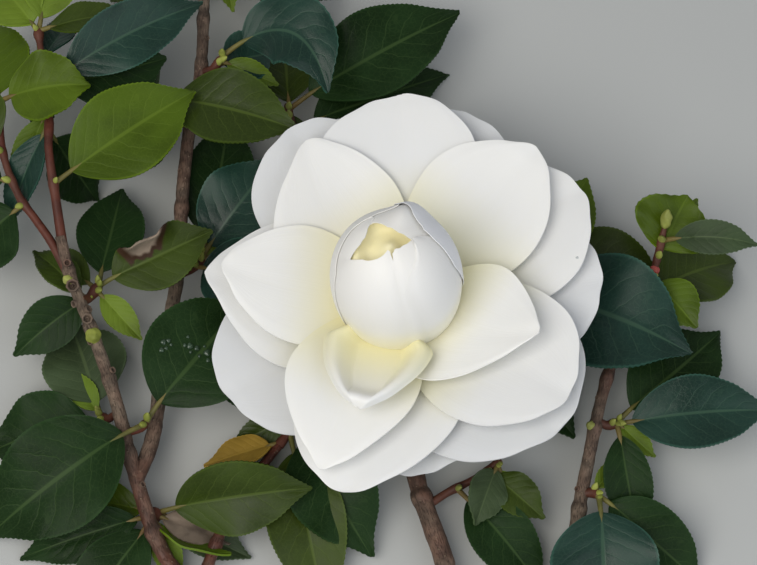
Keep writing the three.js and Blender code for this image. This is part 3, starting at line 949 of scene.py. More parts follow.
def join(name, objects):
    """One piece of several, under a name."""
    pick(*objects)
    if len(objects) > 1:
        bpy.ops.object.join()
    obj = bpy.context.active_object
    obj.name = obj.data.name = name
    return obj


def thicken(obj, thickness, under=0):
    """Gives a sheet its wall below the face it shows; under shifts the wall's material slots."""
    pick(obj)
    wall = obj.modifiers.new("wall", "SOLIDIFY")
    wall.thickness = thickness
    wall.offset = -1
    wall.material_offset = under
    bpy.ops.object.modifier_apply(modifier=wall.name)


def finish_piece(obj, nodes, material=None):
    """Smooth shading, the material, the body it rides on, and the nodes it stands for."""
    if material:
        obj.data.materials.clear()
        obj.data.materials.append(material)
    pick(obj)
    bpy.ops.object.shade_smooth_by_angle(angle=math.radians(50))
    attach(obj, "root")
    if nodes:
        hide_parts(*nodes)
    clear_selection()


def tubes(name, runs, resolution):
    """Round tubes along runs of points, each with its radii in metres, as one closed mesh."""
    curve = bpy.data.curves.new(name, "CURVE")
    curve.dimensions = "3D"
    curve.bevel_depth = 1
    curve.bevel_resolution = resolution
    curve.use_fill_caps = True
    for points, radii in runs:
        spline = curve.splines.new("POLY")
        spline.points.add(len(points) - 1)
        spline.points.foreach_set("co", np.hstack([points, np.ones((len(points), 1))]).ravel())
        spline.points.foreach_set("radius", np.asarray(radii, float))
    obj = bpy.data.objects.new(name, curve)
    bpy.context.scene.collection.objects.link(obj)
    pick(obj)
    bpy.ops.object.convert(target="MESH")
    obj = bpy.context.active_object
    obj.name = obj.data.name = name
    return obj


def tree_of(points, faces):
    """A mesh to test rays and overlaps against."""
    return BVHTree.FromPolygons([tuple(p) for p in points], [tuple(f) for f in faces])


def node_tree_of(name):
    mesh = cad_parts[name].data
    return tree_of([v.co for v in mesh.vertices], [p.vertices for p in mesh.polygons])


# ------------------------------------------------------------------ materials


class Graph:
    """Adds nodes to a tree and wires them: a link is given as (node, output)."""

    def __init__(self, tree):
        self.tree = tree

    def add(self, kind, inputs=None, **settings):
        node = self.tree.nodes.new(kind)
        for key, value in settings.items():
            setattr(node, key, value)
        for key, value in (inputs or {}).items():
            self.feed(node.inputs[key], value)
        return node

    def feed(self, target, value):
        """Sets a socket to a value, or wires it to the output that the value names."""
        if isinstance(value, tuple) and isinstance(value[0], bpy.types.Node):
            self.tree.links.new(value[0].outputs[value[1]], target)
        else:
            target.default_value = value

    def maths(self, operation, a, b=0.0):
        """One step of arithmetic."""
        return (self.add("ShaderNodeMath", {0: a, 1: b}, operation=operation), 0)

    def band(self, value, low, high, out_low=0.0, out_high=1.0):
        """A soft step of a value between two bounds."""
        node = self.add(
            "ShaderNodeMapRange",
            {
                "Value": value,
                "From Min": low,
                "From Max": high,
                "To Min": out_low,
                "To Max": out_high,
            },
            interpolation_type="SMOOTHSTEP",
        )
        return (node, "Result")

    def mix(self, factor, a, b, blend="MIX"):
        """Two colours in one; the indices are the mix node's sockets for colours."""
        node = self.add("ShaderNodeMix", data_type="RGBA", blend_type=blend)
        for index, value in ((0, factor), (6, a), (7, b)):
            self.feed(node.inputs[index], value)
        return (node, 2)


def new_group(name, inputs, outputs):
    """A node group of plain numbers, with the defaults of its inputs and the names it gives out."""
    group = bpy.data.node_groups.new(name, "ShaderNodeTree")
    number = "NodeSocketFloat"
    for label, default in inputs.items():
        made = group.interface.new_socket(name=label, in_out="INPUT", socket_type=number)
        made.default_value = default
    for label in outputs:
        group.interface.new_socket(name=label, in_out="OUTPUT", socket_type=number)
    g = Graph(group)
    return group, g, g.add("NodeGroupInput"), g.add("NodeGroupOutput")


def leaf_ribs():
    """Midrib, side ribs that curve forward, the swell of the blade between them, the margin."""
    group, g, given, out = new_group(
        "Leaf ribs", {"Count": 8.0, "Slant": 2.0}, ("Ribs", "Swell", "Margin")
    )
    uv = g.add("ShaderNodeUVMap", uv_map="Leaf")
    parts = g.add("ShaderNodeSeparateXYZ", {0: (uv, 0)})
    away = g.maths("MULTIPLY", g.maths("ABSOLUTE", g.maths("SUBTRACT", (parts, 0), 0.5)), 2.0)
    wander = g.add("ShaderNodeTexNoise", {"Vector": (uv, 0), "Scale": 7.0, "Detail": 2.0})
    lean = g.maths("MULTIPLY", g.maths("POWER", away, 1.25), (given, "Slant"))
    phase = g.maths("SUBTRACT", g.maths("MULTIPLY", (parts, 1), (given, "Count")), lean)
    phase = g.maths("ADD", phase, g.maths("MULTIPLY", (wander, 0), 0.45))
    beat = g.maths("FRACT", phase)
    near = g.maths("MULTIPLY", g.maths("ABSOLUTE", g.maths("SUBTRACT", beat, 0.5)), 2.0)
    side_rib = g.maths("MULTIPLY", g.band(near, 0.9, 1.0), g.band(away, 0.95, 0.5))
    midrib = g.band(away, 0.06, 0.02)
    net_place = g.add("ShaderNodeMapping", {"Vector": (uv, 0), "Scale": (17.0, 34.0, 1.0)})
    cells = g.add(
        "ShaderNodeTexVoronoi",
        {"Vector": (net_place, 0), "Scale": 1.0},
        feature="DISTANCE_TO_EDGE",
    )
    net = g.maths("MULTIPLY", g.band((cells, 0), 0.07, 0.0), 0.3)
    ribs = g.maths("MAXIMUM", midrib, g.maths("MAXIMUM", g.maths("MULTIPLY", side_rib, 0.65), net))
    swell = g.maths("SUBTRACT", 1.0, g.maths("POWER", near, 2.0))
    swell = g.maths("MULTIPLY", swell, g.band(away, 0.02, 0.2))
    g.feed(out.inputs["Ribs"], ribs)
    g.feed(out.inputs["Swell"], swell)
    g.feed(out.inputs["Margin"], g.band(away, 0.93, 1.0))
    return group


def mottle():
    """Cloudy mask in object space."""
    group, g, given, out = new_group("Mottle", {"Scale": 60.0}, ("Mask",))
    spot = g.add("ShaderNodeTexCoord")
    cloud = g.add(
        "ShaderNodeTexNoise", {"Vector": (spot, "Object"), "Scale": (given, "Scale"), "Detail": 4.0}
    )
    g.feed(out.inputs["Mask"], g.band((cloud, 0), 0.35, 0.65))
    return group


def start_material(name, roughness, **sockets):
    """A material with its Principled shader, whose uniform values are set on its own sockets."""
    m = bpy.data.materials.new(name)
    m.use_nodes = True
    g = Graph(m.node_tree)
    shader = m.node_tree.nodes["Principled BSDF"]
    shader.inputs["Roughness"].default_value = roughness
    for key, value in sockets.items():
        shader.inputs[key.replace("_", " ")].default_value = value
    return m, g, shader


def rgba(colour, gain=1.0):
    """A colour times a gain, no channel past full, with its alpha."""
    return (*[min(1.0, c * gain) for c in colour], 1.0)


def leaf_material(
    name, colour, groups, gloss=0.3, sheen=0.2, rib_gain=2.2, edge_gain=1.6, dead=None
):
    """Leaf skin with its ribs; dead is the colour of a withered part, dealt by the attribute."""
    m, g, shader = start_material(name, gloss, Specular_IOR_Level=sheen)
    ribs = g.add("ShaderNodeGroup", node_tree=groups["ribs"])
    clouds = g.add("ShaderNodeGroup", {"Scale": 55.0}, node_tree=groups["mottle"])
    body = g.mix((clouds, 0), rgba(colour, 0.8), rgba(colour, 1.25))
    tint = g.add("ShaderNodeAttribute", attribute_name="leaf_tint")
    shade = g.mix(g.maths("MULTIPLY", (tint, "Fac"), 0.5), (1, 1, 1, 1), rgba((0.7, 0.8, 0.8)))
    body = g.mix(1.0, body, shade, "MULTIPLY")
    pale = rgba([c * rib_gain + rise for c, rise in zip(colour, (0.03, 0.035, 0.012))])
    body = g.mix(g.maths("MULTIPLY", (ribs, "Ribs"), 0.5), body, pale)
    body = g.mix(g.maths("MULTIPLY", (ribs, "Margin"), 0.45), body, rgba(colour, edge_gain * 1.4))
    if dead:
        part = g.add("ShaderNodeAttribute", attribute_name="dead")
        body = g.mix(g.band((part, "Fac"), 0.02, 0.2), body, rgba((0.045, 0.022, 0.012)))
        husk = g.mix((clouds, 0), rgba(dead, 1.1), rgba(dead, 2.2))
        body = g.mix(g.band((part, "Fac"), 0.4, 0.8), body, husk)
    g.feed(shader.inputs["Base Color"], body)
    spot = g.add("ShaderNodeTexCoord")
    grain = g.add("ShaderNodeTexNoise", {"Vector": (spot, "Object"), "Scale": 900.0, "Detail": 2.0})
    rough = g.add(
        "ShaderNodeMapRange", {"Value": (clouds, 0), "To Min": gloss - 0.06, "To Max": gloss + 0.12}
    )
    g.feed(shader.inputs["Roughness"], (rough, 0))
    swell = g.maths("MULTIPLY", (ribs, "Swell"), 0.8)
    height = g.maths("SUBTRACT", swell, g.maths("MULTIPLY", (ribs, "Ribs"), 0.5))
    height = g.maths("ADD", height, g.maths("MULTIPLY", (grain, 0), 0.2))
    bump = g.add("ShaderNodeBump", {"Height": height, "Strength": 0.35, "Distance": 0.0002})
    g.feed(shader.inputs["Normal"], (bump, 0))
    return m


def underside_material(name, colour, groups):
    """Pale, dull back of a leaf, where the ribs stand out."""
    m, g, shader = start_material(name, 0.6)
    ribs = g.add("ShaderNodeGroup", node_tree=groups["ribs"])
    clouds = g.add("ShaderNodeGroup", {"Scale": 70.0}, node_tree=groups["mottle"])
    body = g.mix((clouds, 0), rgba(colour, 0.85), rgba(colour, 1.15))
    body = g.mix(g.maths("MULTIPLY", (ribs, "Ribs"), 0.6), body, rgba(colour, 1.7))
    g.feed(shader.inputs["Base Color"], body)
    bump = g.add("ShaderNodeBump", {"Height": (ribs, "Ribs"), "Strength": 0.5, "Distance": 0.0004})
    g.feed(shader.inputs["Normal"], (bump, 0))
    return m


def bark_material(name, young, old, groups):
    """Satin reddish young wood that turns grey, cracked and warty with age."""
    m, g, shader = start_material(name, 0.55, Specular_IOR_Level=0.35)
    spot = g.add("ShaderNodeTexCoord")
    fine = g.add("ShaderNodeGroup", {"Scale": 260.0}, node_tree=groups["mottle"])
    broad = g.add("ShaderNodeGroup", {"Scale": 70.0}, node_tree=groups["mottle"])
    grey = g.add("ShaderNodeAttribute", attribute_name="grey")
    ring = g.add("ShaderNodeAttribute", attribute_name="ring")
    run = g.add("ShaderNodeAttribute", attribute_name="run")
    around = g.add("ShaderNodeAttribute", attribute_name="around")
    grain_place = g.add(
        "ShaderNodeCombineXYZ",
        {0: g.maths("MULTIPLY", (run, "Fac"), 0.22), 1: g.maths("MULTIPLY", (around, "Fac"), 3.2)},
    )
    fissures = g.add(
        "ShaderNodeTexNoise", {"Vector": (grain_place, 0), "Scale": 2.4, "Detail": 5.0}
    )
    cracks = g.band((fissures, 0), 0.46, 0.36)
    patches = g.maths("MULTIPLY", g.maths("SUBTRACT", (broad, 0), 0.5), 0.45)
    age = g.maths("ADD", (grey, "Fac"), patches)
    age = g.maths("MINIMUM", g.maths("MAXIMUM", age, 0.0), 1.0)
    red = g.mix((fine, 0), rgba(young, 0.7), rgba(young, 1.35))
    wood = g.mix((fine, 0), rgba(old, 0.65), rgba(old, 1.35))
    body = g.mix(age, red, wood)
    deep = g.maths("MULTIPLY", cracks, g.maths("ADD", g.maths("MULTIPLY", age, 0.5), 0.2))
    body = g.mix(deep, body, rgba((0.025, 0.014, 0.01)))
    warts = g.add("ShaderNodeTexVoronoi", {"Vector": (spot, "Object"), "Scale": 520.0})
    dots = g.band((warts, 0), 0.2, 0.1)
    body = g.mix(g.maths("MULTIPLY", dots, 0.55), body, rgba((0.3, 0.22, 0.15)))
    body = g.mix(g.maths("MULTIPLY", (ring, "Fac"), 0.65), body, rgba((0.03, 0.018, 0.012)))
    g.feed(shader.inputs["Base Color"], body)
    g.feed(shader.inputs["Roughness"], g.band(age, 0.0, 1.0, 0.42, 0.8))
    height = g.maths("MULTIPLY", (fissures, 0), age)
    height = g.maths("SUBTRACT", height, g.maths("MULTIPLY", cracks, 0.6))
    height = g.maths("ADD", height, g.maths("MULTIPLY", dots, 0.7))
    height = g.maths("ADD", height, g.maths("MULTIPLY", (fine, 0), 0.25))
    bump = g.add("ShaderNodeBump", {"Height": height, "Strength": 0.8, "Distance": 0.0005})
    g.feed(shader.inputs["Normal"], (bump, 0))
    return m


def rind_material(name, colour, groups, pale, amount):
    """Speckled skin of stalks, twigs, buds and the dead leaf; amount is how much of it is pale."""
    m, g, shader = start_material(name, 0.55, Specular_IOR_Level=0.35)
    spot = g.add("ShaderNodeTexCoord")
    clouds = g.add("ShaderNodeGroup", {"Scale": 180.0}, node_tree=groups["mottle"])
    broad = g.add("ShaderNodeGroup", {"Scale": 45.0}, node_tree=groups["mottle"])
    body = g.mix((clouds, 0), rgba(colour, 0.7), rgba(colour, 1.25))
    body = g.mix(g.maths("MULTIPLY", (broad, 0), amount), body, rgba(pale))
    g.feed(shader.inputs["Base Color"], body)
    grain = g.add("ShaderNodeTexNoise", {"Vector": (spot, "Object"), "Scale": 700.0, "Detail": 5.0})
    bump = g.add("ShaderNodeBump", {"Height": (grain, 0), "Strength": 0.5, "Distance": 0.0003})
    g.feed(shader.inputs["Normal"], (bump, 0))
    return m


def petal_material(name, colours, groups, fade_span, cream, gain):
    """Satin petal, streaked along its length, whose cream fades out over a span from its root.

    The cream is how much of it there is at most, and gain is the petal's tone by channel. The gains
    carry painted light and shade: the inner petals, the heart and its throat are lightened, the
    middle and outer petals darkened and cooled, and the heart's sail cooled as painted bluish
    shade.
    """
    m, g, shader = start_material(name, 0.5, Subsurface_Weight=0.1, Subsurface_Scale=0.002)
    shader.inputs["Subsurface Radius"].default_value = (1.0, 0.95, 0.75)
    uv = g.add("ShaderNodeUVMap", uv_map="Petal")
    parts = g.add("ShaderNodeSeparateXYZ", {0: (uv, 0)})
    clouds = g.add("ShaderNodeGroup", {"Scale": 45.0}, node_tree=groups["mottle"])
    stretch = g.add("ShaderNodeMapping", {"Vector": (uv, 0), "Scale": (40.0, 3.0, 1.0)})
    streak = g.add("ShaderNodeTexNoise", {"Vector": (stretch, 0), "Scale": 1.0, "Detail": 4.0})
    fade = g.band((parts, 1), *fade_span)
    fade = g.maths("ADD", fade, g.maths("MULTIPLY", g.maths("SUBTRACT", (streak, 0), 0.5), 0.1))
    fade = g.maths("MINIMUM", g.maths("MAXIMUM", fade, 1 - cream), 1.0)
    root = rgba([c * k for c, k in zip(colours.petal_base, gain)])
    tip = rgba([c * k for c, k in zip(colours.petal, gain)])
    body = g.mix(fade, root, tip)
    cool = g.mix(g.maths("MULTIPLY", (clouds, 0), 0.25), (1, 1, 1, 1), (0.95, 0.97, 1.0, 1))
    body = g.mix(1.0, body, cool, "MULTIPLY")
    g.feed(shader.inputs["Base Color"], body)
    bump = g.add("ShaderNodeBump", {"Height": (streak, 0), "Strength": 0.2, "Distance": 0.0002})
    g.feed(shader.inputs["Normal"], (bump, 0))
    return m


def water_material(name, under, groups):
    """Water that shows the colour of what it lies on."""
    m, g, shader = start_material(name, 0.03, Specular_IOR_Level=0.6)
    clouds = g.add("ShaderNodeGroup", {"Scale": 400.0}, node_tree=groups["mottle"])
    body = g.mix((clouds, 0), rgba(under, 0.8), rgba(under, 1.1))
    g.feed(shader.inputs["Base Color"], body)
    return m


MATERIALS = {}  # by the name of the leaf's look, the finish or the piece


def make_materials(colours):
    """Fills MATERIALS with every finish of the branch."""
    groups = {"ribs": leaf_ribs(), "mottle": mottle()}
    leaves = {
        "dark": ("leaf dark", {"gloss": 0.28, "sheen": 0.07}),
        "blue": ("leaf bluish", {"gloss": 0.25, "sheen": 0.22, "edge_gain": 2.6}),
        "olive": ("leaf olive", {"gloss": 0.4, "rib_gain": 1.8}),
        "light": ("leaf light", {"gloss": 0.42, "rib_gain": 1.6}),
        "lime": ("leaf lime", {"gloss": 0.4, "rib_gain": 1.4}),
        "grey": ("leaf grey-green", {"gloss": 0.5, "rib_gain": 1.6}),
        "amber": ("leaf amber", {"gloss": 0.5, "rib_gain": 1.2}),
    }
    for look, (name, finish) in leaves.items():
        MATERIALS[look] = leaf_material(name, getattr(colours, look), groups, **finish)
    MATERIALS["withered"] = leaf_material(
        "leaf half dead", colours.olive, groups, gloss=0.5, rib_gain=1.8, dead=colours.dry
    )
    MATERIALS["under"] = underside_material("leaf underside", colours.underside, groups)
    MATERIALS["bark"] = bark_material("bark", colours.twig, colours.bark, groups)
    rinds = {
        "dry": ("leaf withered", colours.dry, (0.27, 0.2, 0.14), 0.5),
        "twig": ("twig", colours.twig, (0.1, 0.05, 0.03), 0.5),
        "stalk": ("leaf stalk", (0.13, 0.13, 0.03), (0.17, 0.07, 0.03), 0.6),
        "bud": ("bud scale", colours.bud, (0.3, 0.3, 0.1), 0.5),
        "blush": ("young joint", (0.42, 0.06, 0.06), (0.25, 0.12, 0.06), 0.5),
    }
    for key, (name, colour, pale, amount) in rinds.items():
        MATERIALS[key] = rind_material(name, colour, groups, pale, amount)
    # The gains are painted light and shade on one white petal: the inner petals and the heart a
    # little lighter, the middle and outer petals darker and bluer as painted shade.
    petals = {
        "petal_rolled": ("petal rolled", (0.2, 0.75), 1.0, (1, 1, 1)),
        "petals_inner": ("petal inner", (0.1, 0.5), 1.0, (1.04, 1.04, 1.04)),
        "petals_middle": ("petal middle", (0.1, 0.5), 1.0, (0.96, 0.965, 0.98)),
        "petals_outer": ("petal outer", (0.1, 0.5), 1.0, (0.85, 0.865, 0.9)),
        "heart_petals": ("petal heart", (0.0, 0.4), 0.3, (1.04, 1.03, 1.02)),
        # The heart's sail is a copy of the heart's petals made bluer as painted cool shade.
        "heart_sail": ("petal sail", (0.0, 0.4), 0.3, (1.02, 1.03, 1.09)),
        # The throat's gain lightens the cream past the petals' own as painted light against the
        # shade of its hollow.
        "heart_core": ("petal throat", (0.9, 1.6), 1.0, (1.2, 1.17, 1.2)),
    }
    for piece, (name, fade, cream, gain) in petals.items():
        MATERIALS[piece] = petal_material(name, colours, groups, fade, cream, gain)
    MATERIALS["leaf_drops"] = water_material("water on leaf", (0.03, 0.06, 0.03), groups)
    MATERIALS["petal_drops"] = water_material("water on petal", (0.6, 0.64, 0.64), groups)


# ------------------------------------------------------------------ pieces


class CAMELLIA_OT_materials(bpy.types.Operator):
    """Make the finishes of the branch"""

    bl_idname = "camellia.materials"
    bl_label = "Finishes"

    def execute(self, context):
        make_materials(context.scene.camellia_colours)
        return {"FINISHED"}


class CAMELLIA_OT_stage(bpy.types.Operator):
    """Lay the floor and set the lights and the camera"""

    bl_idname = "camellia.stage"
    bl_label = "Stage"

    def execute(self, context):
        scene = context.scene
        clear_selection()
        bpy.ops.mesh.primitive_plane_add(size=4)
        floor = context.active_object
        floor.name = "floor"
        m, g, shader = start_material("floor", 0.8)
        spot = g.add("ShaderNodeTexCoord")
        clouds = g.add(
            "ShaderNodeTexNoise", {"Vector": (spot, "Object"), "Scale": 3.0, "Detail": 3.0}
        )
        body = g.mix((clouds, 0), (0.44, 0.45, 0.44, 1), (0.48, 0.49, 0.48, 1))
        g.feed(shader.inputs["Base Color"], body)
        floor.data.materials.append(m)

        world = bpy.data.worlds.new("studio")
        world.use_nodes = True
        back = world.node_tree.nodes["Background"]
        back.inputs["Color"].default_value = SKY_TINT
        back.inputs["Strength"].default_value = SKY_STRENGTH
        scene.world = world
        seat = Vector(place(SEAT))
        for name, offset, size, power, tint in LIGHTS:
            clear_selection()
            bpy.ops.object.light_add(type="AREA", location=seat + Vector(offset))
            light = context.active_object
            light.name = name
            light.data.size = size
            light.data.energy = power
            light.data.color = tint
            light.rotation_euler = (-Vector(offset)).to_track_quat("-Z", "Y").to_euler()

        away = Vector((0, -math.cos(TILT), math.sin(TILT)))
        up = Vector((0, math.sin(TILT), math.cos(TILT)))
        aside = Vector((CAMERA_RIGHT, 0, 0)) + CAMERA_UP * up
        clear_selection()
        bpy.ops.object.camera_add(
            location=seat + CAMERA_AWAY * away + aside,
            rotation=(math.pi / 2 - TILT, 0, 0),
        )
        camera = context.active_object
        camera.name = "camera"
        camera.data.lens = CAMERA_LENS
        camera.data.sensor_width = 36
        camera.data.clip_start = 0.01
        scene.camera = camera
        scene.view_settings.view_transform = "Standard"
        return {"FINISHED"}


class CAMELLIA_OT_limbs(bpy.types.Operator):
    """Model the five woody limbs with their joints and bark relief"""

    bl_idname = "camellia.limbs"
    bl_label = "Woody limbs"

    def execute(self, context):
        sizes = context.scene.camellia_sizes
        grain = bpy.data.textures.new("bark grain", "CLOUDS")
        grain.noise_scale = 0.0035
        grain.noise_depth = 3
        for name, spec in LIMBS.items():
            route = Route(spec["route"])
            share = np.linspace(0, 1, int(route.length / BARK_STEP))
            radius = np.interp(share, [0, 1], spec["radii"])
            for joint in spec["nodes"]:  # a swelling with a groove above it
                away = (share - joint) * route.length
                radius = radius * (1 + 0.2 * np.exp(-((away / 2.2) ** 2)))
                radius = radius * (1 - 0.09 * np.exp(-(((away - 2.6) / 0.8) ** 2)))
            points = route.at(share)
            wobble = np.sin(share[:, None] * route.length / np.array([9.0, 13.0, 11.0]))
            points = points + 0.22 * wobble * smooth(0, 0.1, share)[:, None]
            points[:, 2] = np.maximum(points[:, 2], radius + 0.35)
            obj = tubes(name + "_bark", [(place(points), radius * MM)], resolution=6)
            self.wear(obj, route, spec)
            bump = obj.modifiers.new("relief", "DISPLACE")
            bump.texture = grain
            bump.texture_coords = "LOCAL"
            bump.strength = sizes.bark_relief
            bump.mid_level = 0.5
            pick(obj)
            bpy.ops.object.modifier_apply(modifier=bump.name)
            finish_piece(obj, [name], MATERIALS["bark"])
        self.scars()
        return {"FINISHED"}

    @staticmethod
    def wear(obj, route, spec):
        """Writes how grey the bark is, and where its joints and the run of its fissures lie."""
        share = np.linspace(0, 1, 400)
        line = place(route.at(share))
        p = points_of(obj)
        near = np.argmin(np.linalg.norm(p[:, None, :] - line[None], axis=2), axis=1)
        run = share[near]
        grey = np.interp(run, np.linspace(0, 1, len(spec["grey"])), spec["grey"])
        ring = np.zeros(len(p))
        for joint in spec["nodes"]:
            away = (run - joint) * route.length
            ring = np.maximum(ring, np.exp(-(((away - 1.6) / 1.1) ** 2)))
        out = p - line[near]
        around = np.arctan2(out[:, 2], out[:, 0] + 0.35 * out[:, 1])
        write_layer(obj.data, "grey", grey)
        write_layer(obj.data, "ring", ring)
        write_layer(obj.data, "run", run * route.length)
        write_layer(obj.data, "around", around)

    @staticmethod
    def scars():
        """Round scars where leaves and twigs have dropped: a raised rim about a sunk middle."""
        made = []
        for name, share, azimuth, rise, size in SCARS:
            route = Route(LIMBS[name]["route"])
            radius = float(np.interp(share, [0, 1], LIMBS[name]["radii"]))
            centre = route.at(share)
            along = unit(route.at(min(1, share + 0.01)) - route.at(share - 0.01))
            out = facing(azimuth, rise)
            out = unit(out - along * (out @ along))
            obj, p = ball(24, 20)
            away = np.hypot(p[:, 0], p[:, 1])
            upper = p[:, 2] > 0
            crater = 0.6 - 0.8 * smooth(0.75, 0.4, away) + 0.5 * smooth(0.3, 0, away)
            knots = 1 + 0.05 * np.sin(7 * np.arctan2(p[:, 1], p[:, 0]) + share * 40)
            height = np.where(upper, crater, p[:, 2])
            p = np.stack([p[:, 0] * knots, p[:, 1] * knots, height], 1) * size
            turn = np.stack([unit(np.cross(along, out)), along, out], 1)
            move_points(obj, place(p @ turn.T + centre + out * radius))
            write_layer(obj.data, "grey", 0.7)
            write_layer(obj.data, "ring", np.where(upper, smooth(0.75, 0.5, away), 0.0))
            write_layer(obj.data, "run", 0.0)
            write_layer(obj.data, "around", 0.0)
            made.append(obj)
        finish_piece(join("bark_scars", made), [], MATERIALS["bark"])


def young_leaves():
    """The small extra leaf that the rule draws for each stem, where the solids kept it."""
    state = YOUNG_SEED

    def draw(low, high):
        nonlocal state
        state = (state * 1664525 + 1013904223) % 4294967296
        return low + (high - low) * (state / 4294967296)

    found = {}
    for name, mass in MASSES.items():
        share, length, heading = draw(0.4, 0.95), draw(*YOUNG_LENGTH), draw(0, 2 * math.pi)
        root = Route(mass["stem"]).at(share)
        tip = root + length * np.array([math.cos(heading), math.sin(heading), 0])
        tip[2] = max(LOWEST_TIP, tip[2] - draw(0, 0.4) * length)
        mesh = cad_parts[name].data
        near = min((v.co - Vector(place(tip))).length for v in mesh.vertices)
        if near < YOUNG_REACH:
            found[name] = (share, tuple(tip), 0.42 * length, "lime", 0.06)
    return found


def table_leaf(name, index, row):
    """A leaf that a table row gives to a mass, by its place among that mass's leaves."""
    root = Route(MASSES[name]["stem"]).at(row[0])
    return Leaf(root, *row[1:], seed=LEAF_SEED * list(MASSES).index(name) + index)


class Crown:
    """All leaves of the branch, and the space that each one takes."""

    def __init__(self, extra):
        young = young_leaves()
        solids = (*LIMBS, "bloom_petals", "bloom_calyx")
        self.taken = [(node_tree_of(name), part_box(name)) for name in solids]
        self.leaves = {}
        for name, mass in MASSES.items():
            rows = list(mass["leaves"]) + ([young[name]] if name in young else [])
            rows += SMALL_LEAVES.get(name, [])
            self.leaves[name] = [table_leaf(name, k, row) for k, row in enumerate(rows)]
            for leaf in self.leaves[name]:
                self.hold(leaf)
        self.shown = [tree for tree, _ in self.taken]
        for m, (name, mass) in enumerate(MASSES.items()):
            self.fill(name, Route(mass["stem"]), random.Random(EXTRA_SEED + m), extra)

    @staticmethod
    def hull(leaf):
        """A coarse closed shell about a blade, as points and faces."""
        columns, rows = 5, 13
        u, v = np.meshgrid(np.linspace(0, 1, columns), np.linspace(0, 1, rows))
        face = leaf.surface(u.ravel(), v.ravel())
        points = np.vstack([face + (0, 0, 0.9), face - (0, 0, 1.3)])
        under = columns * rows
        faces = []
        for i in range(rows - 1):
            for j in range(columns - 1):
                a = i * columns + j
                b, c, d = a + 1, a + columns + 1, a + columns
                faces += [(a, b, c, d), (a + under, d + under, c + under, b + under)]
        for i in range(rows - 1):
            for j in (0, columns - 1):
                a = i * columns + j
                d = a + columns
                faces.append((a, d, d + under, a + under))
        return place(points), faces

    def hold(self, leaf):
        """Notes the space that a leaf takes."""
        points, faces = self.hull(leaf)
        self.taken.append((tree_of(points, faces), (points.min(0), points.max(0))))

    def free(self, leaf):
        """Whether nothing that is there already touches this leaf."""
        points, faces = self.hull(leaf)
        low, high = points.min(0), points.max(0)
        mine = tree_of(points, faces)
        for tree, (a, b) in self.taken:
            apart = any(high[k] < a[k] or low[k] > b[k] for k in range(3))
            if not apart and tree.overlap(mine):
                return False
        return True

    def hides(self, leaf):
        """Whether a limb, the bloom or a leaf of the tables lies behind this one."""
        sight = Vector((0, math.cos(TILT), -math.sin(TILT)))
        face = [Vector(p) for p in leaf.samples(np.linspace(0, 1, 5), np.linspace(0, 1, 9))]
        return any(tree.ray_cast(p, sight)[0] for tree in self.shown for p in face)

    def fill(self, name, stem, dice, extra):
        """Grows further leaves on a mass's stem, inside the box of its solid."""
        low, high = (np.array(corner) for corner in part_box(name))
        kept = 0
        looks = [leaf.look for leaf in self.leaves[name]]
        for _ in range(EXTRA_TRIES):
            if kept >= extra:
                return
            share = dice.uniform(0.25, 1)
            length = dice.uniform(*EXTRA_LENGTH)
            heading = dice.uniform(0, 2 * math.pi)
            root = stem.at(share)
            drop = dice.uniform(*EXTRA_DROP) * length
            tip = root + length * np.array([math.cos(heading), math.sin(heading), 0])
            tip[2] = max(LOWEST_TIP, root[2] - drop)
            look = dice.choice(looks)
            look = "olive" if look in ("withered", "amber", "lime") else look
            roll, arch = dice.uniform(-25, 25), dice.uniform(0.04, 0.14)
            width = length * dice.uniform(0.36, 0.44)
            leaf = Leaf(root, tip, width, look, arch, roll, seed=dice.random())
            face = leaf.samples((0, 0.5, 1), (0.3, 0.6, 1))
            inside = (face.min(0) > low - MM).all() and (face.max(0) < high + MM).all()
            if inside and self.free(leaf) and not self.hides(leaf):
                self.leaves[name].append(leaf)
                self.hold(leaf)
                kept += 1


